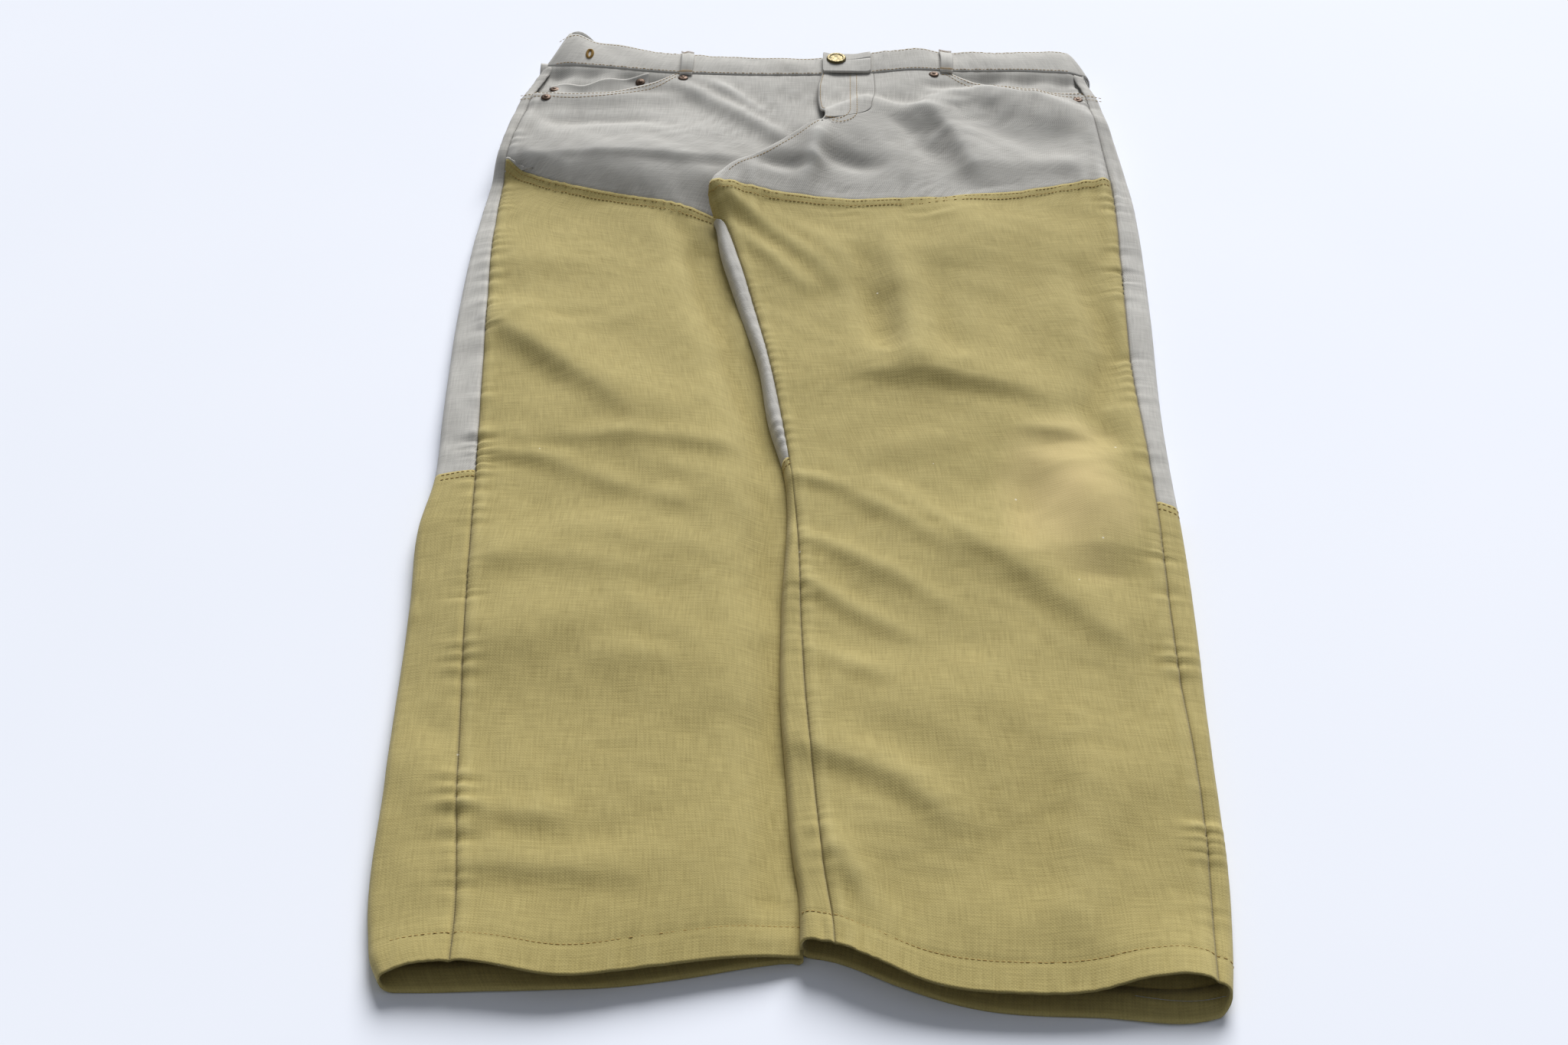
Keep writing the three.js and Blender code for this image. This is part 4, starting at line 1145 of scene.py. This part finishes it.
# %% [markdown]
# ## Stitches
#
# Every seam is held by rows of thread. A row is a line of points on the cloth; a Geometry Nodes tree
# walks along it and lays one small rounded stitch after another. Because the tree's inputs give the
# stitch length, the gap and the slant, the same tree makes the straight rows, the dense bars of the
# belt loops and the eyelet, and the zigzag of the overlocked edge.

# %% The stitch tree
stitch_tree, entry, leave = new_group(
    "stitch row",
    [("Rows", "Geometry", None), ("Pitch", "Float", 0.0032), ("Length", "Float", 0.0024),
     ("Thickness", "Float", 0.00035), ("Slant", "Float", 0.0), ("Thread", "Material", None)],
    [("Stitches", "Geometry")], "GeometryNodeTree",
)
rows_curve = node(stitch_tree, "GeometryNodeMeshToCurve", {"Mesh": entry.outputs["Rows"]})
steps = node(stitch_tree, "GeometryNodeCurveToPoints", {"Curve": rows_curve.outputs[0]}, mode="LENGTH")
stitch_tree.links.new(entry.outputs["Pitch"], steps.inputs["Length"])
bead = node(stitch_tree, "GeometryNodeMeshUVSphere", {"Segments": 6, "Rings": 4, "Radius": 0.5})
size = node(stitch_tree, "ShaderNodeCombineXYZ", {
    "X": entry.outputs["Thickness"], "Y": entry.outputs["Thickness"], "Z": entry.outputs["Length"]})
laid = node(stitch_tree, "GeometryNodeInstanceOnPoints", {
    "Points": steps.outputs["Points"], "Instance": bead.outputs["Mesh"],
    "Rotation": steps.outputs["Rotation"], "Scale": size.outputs[0]})
number = stitch_tree.nodes.new("GeometryNodeInputIndex").outputs[0]
turn_way = maths(stitch_tree, "MULTIPLY_ADD", maths(stitch_tree, "MODULO", number, 2.0), 2.0, plus=-1.0)
slanted = maths(stitch_tree, "MULTIPLY", turn_way, entry.outputs["Slant"])
angles = node(stitch_tree, "ShaderNodeCombineXYZ", {"X": slanted, "Y": slanted})
turned = node(stitch_tree, "GeometryNodeRotateInstances", {
    "Instances": laid.outputs[0], "Rotation": angles.outputs[0], "Local Space": True})
end_tree(stitch_tree, turned.outputs[0], entry.outputs["Thread"], leave)


def sew(name, rows, thread, pitch=3.3, length=2.6, thickness=0.55, slant=0.0):
    """Stitches along rows of (x, y, z) points in millimetres, as one plain mesh."""
    verts, edges = [], []
    for row in rows:
        row = np.stack(np.broadcast_arrays(*row), -1).reshape(-1, 3).astype(float)
        edges += [(len(verts) + i, len(verts) + i + 1) for i in range(len(row) - 1)]
        verts += [(x * MM, y * MM + HEM, z * MM) for x, y, z in row]
    grow(new_object(name, verts, [], edges), stitch_tree, Pitch=pitch * MM, Length=length * MM,
         Thickness=thickness * MM, Slant=slant, Thread=thread)
    pieces[name].data.shade_smooth()


# %% Rows on the legs
def on_front(side, xs, ys, up=0.1):
    """A row on the upper cloth, kept off the inner roll."""
    return xs, ys, top(side, xs, ys) + up


def walked(point, c, y, y_of):
    """A row of points settled on the line y_of; it moves little, so a few steps are enough."""
    for _ in range(4):
        x, z, q = point(c, y)
        y = y_of(x)
    x, z, q = point(c, y)
    return x, y, z


def across_front(side, end, y_of, up=0.1, count=240):
    """A row over a front, from the outer seam to its share end of the way; y_of gives its line."""
    c = np.linspace(0.01, end, count)
    x, y, z = walked(lambda c, y: front_point(side, c, y), c, np.full(count, 20.0), y_of)
    return x, y, z + up


def across_back(side, part, ends, count, y_of):
    """A row over the strip of the back that shows beside a seam."""
    c = np.linspace(*ends, count)[None, :]
    x, y, z = walked(lambda c, y: back_point(side, part, c, y), c, np.full((1, count), 60.0), y_of)
    return x[0], y[0], z[0] + 0.25


for side in (R, L):
    name = side_name[side]
    inner = 0.97 if side == R else 0.99
    rows = [
        across_front(side, 0.99, lambda x: hem_front[side](x) + HEM_TURN),
        across_front(side, inner, lambda x: facing_top[side](x) - 2.6, 0.95),
        across_front(side, inner, lambda x: facing_top[side](x) - 8.5, 0.75),
    ]
    sew(f"{name}_facing_stitches", rows, tan_thread)
    x = np.linspace(*sorted((side * 114, side * 248)), 120)
    scooped = np.minimum(scoop[side](x), band_seam(x))
    rows = [on_front(side, x, scooped - down) for down in (2.2, 7.5)]
    if side == L:
        y = np.linspace(792, 856, 60)
        rows.append(on_front(L, left_edge[L](y) + 9, y))
    sew(f"{name}_front_stitches", rows, tan_thread)
    strips = [(0, (0.04, 0.55), 60)]
    if side == L:
        strips.append((2, (0.45, 0.97), 50))
    rows = []
    for part, ends, count in strips:
        for edge, up in ((hem_front[side], HEM_TURN), (knee_seam[side], -2.5), (knee_seam[side], -8)):
            rows.append(across_back(side, part, ends, count, lambda x: edge(x) + up))
    sew(f"{name}_lower_back_stitches", rows, tan_thread)
    print(name, "leg rows", len(pieces[f"{name}_facing_stitches"].data.polygons))

# %% Rows at the waist
FLY_TURN = 884
y = np.linspace(FLY_TURN, 953, 60)
bend = np.linspace(0, 1, 40)
j_x = np.concatenate([34 + 0 * y, 34 - 20 * (1 - np.cos(bend * QUARTER))])
j_y = np.concatenate([y[::-1], FLY_TURN - 20 * np.sin(bend * QUARTER)])
edge_x = flap_edge(y) + 2.2
flap_rows = [
    (j_x, j_y, flap_height(j_x, j_y) + 0.1),
    (j_x + 5.5, j_y - 3 * (j_y < FLY_TURN), flap_height(j_x + 5.5, j_y) + 0.1),
    (edge_x, y, flap_height(edge_x, y) - 0.1),
]
sew("fly_flap_stitches", flap_rows, tan_thread)
for side, start in ((R, 8), (L, 54)):
    x = np.linspace(start, side * 222, 220)
    rows = [(x, mix(band_seam(x) - 1.5, band_top(x), w), front_band_height(x, w) + 0.05)
            for w in (0.07, 0.94)]
    sew(f"{side_name[side]}_band_stitches", rows, tan_thread)

turn = np.linspace(0, 2 * np.pi, 60)
x, y = -194 + 2.4 * np.cos(turn), 987 + 6.0 * np.sin(turn)
eyelet = [(x, y, band_surface(x, y) + 0.5)]
sew("side_eyelet_stitches", eyelet, tan_thread, pitch=0.6, length=0.75, thickness=2.6)
tacks = []
for side, at in front_loops:
    for y in (band_seam(at) - 2.5, band_top(at) - 3):
        x = np.linspace(at - 5.2, at + 5.2, 12)
        tacks.append((x, y + 0 * x, band_surface(x, y + 0 * x) + 2.9))
sew("loop_tacks", tacks, tan_thread, pitch=0.7, length=0.5, thickness=1.8)
zig = np.linspace(0, 1, 90)
x = mix(188, 236, zig)
y = hem_back[L](x) + 15 - 4 * zig
overlock = [(x, y, under(L, x, y) + 2.7)]
sew("left_overlock", overlock, grey_thread, pitch=1.6, length=4.2, thickness=0.5, slant=0.6)
print("stitch rows", sum(name.endswith("stitches") for name in pieces))

# %% [markdown]
# ## Zip teeth
#
# Each row of teeth is one small tooth with a rounded nose, repeated at an even pitch. An array
# modifier could repeat it, but a tree that sets one on each point takes the tooth's size and metal
# as inputs, and the points follow the frame's own rows.

# %% Zip teeth
teeth_tree, entry, leave = new_group(
    "zip teeth",
    [("Points", "Geometry", None), ("Tooth", "Vector", (0.0041, 0.0016, 0.0025)),
     ("Metal", "Material", None)],
    [("Teeth", "Geometry")], "GeometryNodeTree",
)
block = node(teeth_tree, "GeometryNodeMeshCube", {"Size": entry.outputs["Tooth"]})
rounded = {"Mesh": block.outputs[0], "Level": 1, "Edge Crease": 0.6}
tooth = node(teeth_tree, "GeometryNodeSubdivisionSurface", rounded)
placed = node(teeth_tree, "GeometryNodeInstanceOnPoints", {
    "Points": entry.outputs["Points"], "Instance": tooth.outputs[0]})
end_tree(teeth_tree, placed.outputs[0], entry.outputs["Metal"], leave)

TOOTH_PITCH = 0.0032
for side in ("right", "left"):
    low, high = (np.array(corner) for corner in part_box(f"zip_teeth_{side}"))
    middle = (low + high) / 2
    ys = np.arange(low[1] + TOOTH_PITCH / 4, high[1], TOOTH_PITCH)
    row = new_object(f"zip_row_{side}", [(middle[0], y, middle[2]) for y in ys], [])
    grow(row, teeth_tree, Metal=brass)
    print(row.name, len(ys), "teeth")

# %% [markdown]
# ## Rivets
#
# A rivet's cap is a low dome of soft metal with a small raised burr in its middle, and it leans as
# the cloth under it does. The tree sets one on each point, turned by the point's own lean, so that
# its inputs are only the points, the cap's radius and the metal.

# %% Rivets
rivet_tree, entry, leave = new_group(
    "rivet caps",
    [("Points", "Geometry", None), ("Radius", "Float", 0.0044), ("Metal", "Material", None)],
    [("Rivets", "Geometry")], "GeometryNodeTree",
)
dome = node(rivet_tree, "GeometryNodeMeshUVSphere", {
    "Segments": 20, "Rings": 8, "Radius": entry.outputs["Radius"]})
cap = node(rivet_tree, "GeometryNodeTransform", {"Geometry": dome.outputs[0], "Scale": (1, 1, 0.28)})
small = maths(rivet_tree, "MULTIPLY", entry.outputs["Radius"], 0.4)
knob = node(rivet_tree, "GeometryNodeMeshUVSphere", {"Segments": 16, "Rings": 6, "Radius": small})
burr = node(rivet_tree, "GeometryNodeTransform", {
    "Geometry": knob.outputs[0], "Translation": (0, 0, 0.0011), "Scale": (1, 1, 0.4)})
whole = node(rivet_tree, "GeometryNodeJoinGeometry")
for part in (cap, burr):
    rivet_tree.links.new(part.outputs[0], whole.inputs[0])
lean = node(rivet_tree, "GeometryNodeInputNamedAttribute", {"Name": "lean"}, data_type="FLOAT")
turned = node(rivet_tree, "ShaderNodeCombineXYZ", {"X": lean.outputs[0]})
placed = node(rivet_tree, "GeometryNodeInstanceOnPoints", {
    "Points": entry.outputs["Points"], "Instance": whole.outputs[0], "Rotation": turned.outputs[0]})
end_tree(rivet_tree, placed.outputs[0], entry.outputs["Metal"], leave)


def rivets(name, surface, *at):
    """Caps at places on a surface, each leaning as the surface does there."""
    xs, ys = (np.array(v, float) for v in zip(*at))
    zs = surface(xs, ys) + 0.3
    points = new_object(name, [(x * MM, y * MM + HEM, z * MM) for x, y, z in zip(xs, ys, zs)], [])
    slope = np.arctan((surface(xs, ys + 4) - surface(xs, ys - 4)) / 8)
    lean = points.data.attributes.new("lean", "FLOAT", "POINT")
    lean.data.foreach_set("value", slope.astype(np.float32))
    grow(points, rivet_tree, Metal=copper)
    pieces[name].data.shade_smooth()
    print(name, len(pieces[name].data.polygons))


rivets("right_pocket_rivets", lambda x, y: top(R, x, y), (-226, 921), (-110, 948))
rivets("left_pocket_rivets", lambda x, y: top(L, x, y), (228, 923), (106, 952))
rivets("coin_pocket_rivets", coin_height, (-221, 940), (-147, 947))

# %% [markdown]
# ## What moves with what
#
# Sheets at the seat and the fly ride on the body that they are part of; the leg facings, fronts,
# backs and their stitches keep their place. Each stands for the frame's plain solids in the same place.


def at_hip(*names):
    for name in names:
        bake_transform(pieces[name])


def at_knee(side, *names):
    for name in names:
        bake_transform(pieces[name])


def stands_for(name, slot, *nodes):
    if nodes:
        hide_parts(*nodes)


for side in ("right", "left"):
    at_knee(side, *(f"{side}_{name}" for name in (
        "leg_facing", "lower_back", "facing_stitches", "lower_back_stitches")))
    at_hip(*(f"{side}_{name}" for name in ("front", "upper_back", "front_stitches", "back_pocket")))
    for name in ("band", "band_stitches", "pocket_facing", "pocket_bag", "front_loop", "back_loop"):
        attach(pieces[f"{side}_{name}"], "seat")
    for name, slot, nodes in (
        ("leg_facing", "tan_canvas", ("lower_facing", "thigh_facing", "lower_front_base")),
        ("lower_back", "tan_canvas", ("lower_back",)),
        ("front", "grey_twill", ("front_panel", "thigh_front_base")),
        ("upper_back", "grey_twill", ("thigh_back", "seat_back", "back_yoke")),
        ("back_pocket", "grey_twill", ("back_pocket_top", "back_pocket_bottom")),
        ("band", "grey_twill", ("waistband",)),
        ("pocket_facing", "grey_twill", ("pocket_facing",)),
        ("pocket_bag", "pocket_lining", ("pocket_bag",)),
        ("front_loop", "grey_twill", ("front_loop",)),
        ("back_loop", "grey_twill", ("back_loop",)),
    ):
        stands_for(f"{side}_{name}", slot, *(f"{side}_{part}" for part in nodes))
for name, body, slot, nodes in (
    ("middle_back_loop", "seat", "grey_twill", ["middle_back_loop"]),
    ("coin_pocket", "seat", "grey_twill", ["coin_pocket"]),
    ("fly_shield", "seat", "grey_twill", ["fly_shield"]),
    ("button_stand", "seat", "grey_twill", ["button_stand"]),
    ("zip_tape_right", "seat", "grey_twill", ["zip_tape_right"]),
    ("zip_row_right", "seat", "antique_brass", ["zip_teeth_right"]),
    ("side_eyelet_stitches", "seat", "tan_thread", ["side_eyelet"]),
    ("right_pocket_rivets", "seat", "copper", ["right_pocket_side_rivet", "right_pocket_band_rivet"]),
    ("left_pocket_rivets", "seat", "copper", ["left_pocket_side_rivet", "left_pocket_band_rivet"]),
    ("coin_pocket_rivets", "seat", "copper", ["coin_pocket_outer_rivet", "coin_pocket_inner_rivet"]),
    ("loop_tacks", "seat", "tan_thread", []),
    ("left_overlock", "left_lower_leg", "tan_thread", []),
    ("fly_flap", "fly_flap", "grey_twill", ["fly_flap"]),
    ("fly_flap_stitches", "fly_flap", "tan_thread", []),
    ("waist_tab", "fly_flap", "grey_twill", ["waist_tab"]),
    ("fly_facing", "fly_flap", "grey_twill", ["fly_facing"]),
    ("zip_tape_left", "fly_flap", "grey_twill", ["zip_tape_left"]),
    ("zip_row_left", "fly_flap", "antique_brass", ["zip_teeth_left"]),
):
    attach(pieces[name], body)
    stands_for(name, slot, *nodes)
for name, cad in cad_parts.items():
    for slot in cad.material_slots:
        slot.material = copper if "rivet" in name else brass
print("pieces", len(pieces))

# %% [markdown]

# %% [markdown]
# ## Table, light and camera
#
# The garment lies on a clean pale top. One broad window beyond the waist lights every fold from its
# far side, and a weak sky fills the shadows, so slopes that face the hems turn darker.

# %% Floor, light and camera
TABLE_HALF = 5.0
floor_material, tree, shader = new_material("table top", "#F0F3FF")
place = node(tree, "ShaderNodeTexCoord").outputs["Object"]
pale = mixed(tree, noise(tree, place, 3.0), colour("#EEF2FC"), colour("#F3F6FF"))
link_all(tree, shader, {"Base Color": pale, "Roughness": 0.8})
corners = [(x * TABLE_HALF, y * TABLE_HALF, 0) for x, y in ((-1, -1), (1, -1), (1, 1), (-1, 1))]
floor = new_object("floor", corners, [(0, 1, 2, 3)])
floor.data.materials.append(floor_material)

world = bpy.data.worlds.new("studio")
bpy.context.scene.world = world
world.use_nodes = True
sky = world.node_tree.nodes["Background"]
link_all(world.node_tree, sky, {"Color": (0.90, 0.94, 1.0, 1), "Strength": 0.25})

sun = bpy.data.lights.new("window", "SUN")
sun.energy, sun.angle = 4.15, 0.6
window = bpy.data.objects.new("window", sun)
bpy.context.scene.collection.objects.link(window)
window.rotation_euler = (math.radians(-57), 0, math.radians(-10))

camera = bpy.data.objects.new("camera", bpy.data.cameras.new("camera"))
bpy.context.scene.collection.objects.link(camera)
camera.data.lens, camera.data.sensor_width = 50, 36
camera.location = (0.0125, HEM - 0.731, 0.96)
LOOKS_DOWN = 40.3
camera.rotation_euler = (math.radians(90 - LOOKS_DOWN), 0, math.radians(1.21))
bpy.context.scene.camera = camera
bpy.context.scene.view_settings.view_transform = "Standard"
print("camera at", tuple(camera.location))
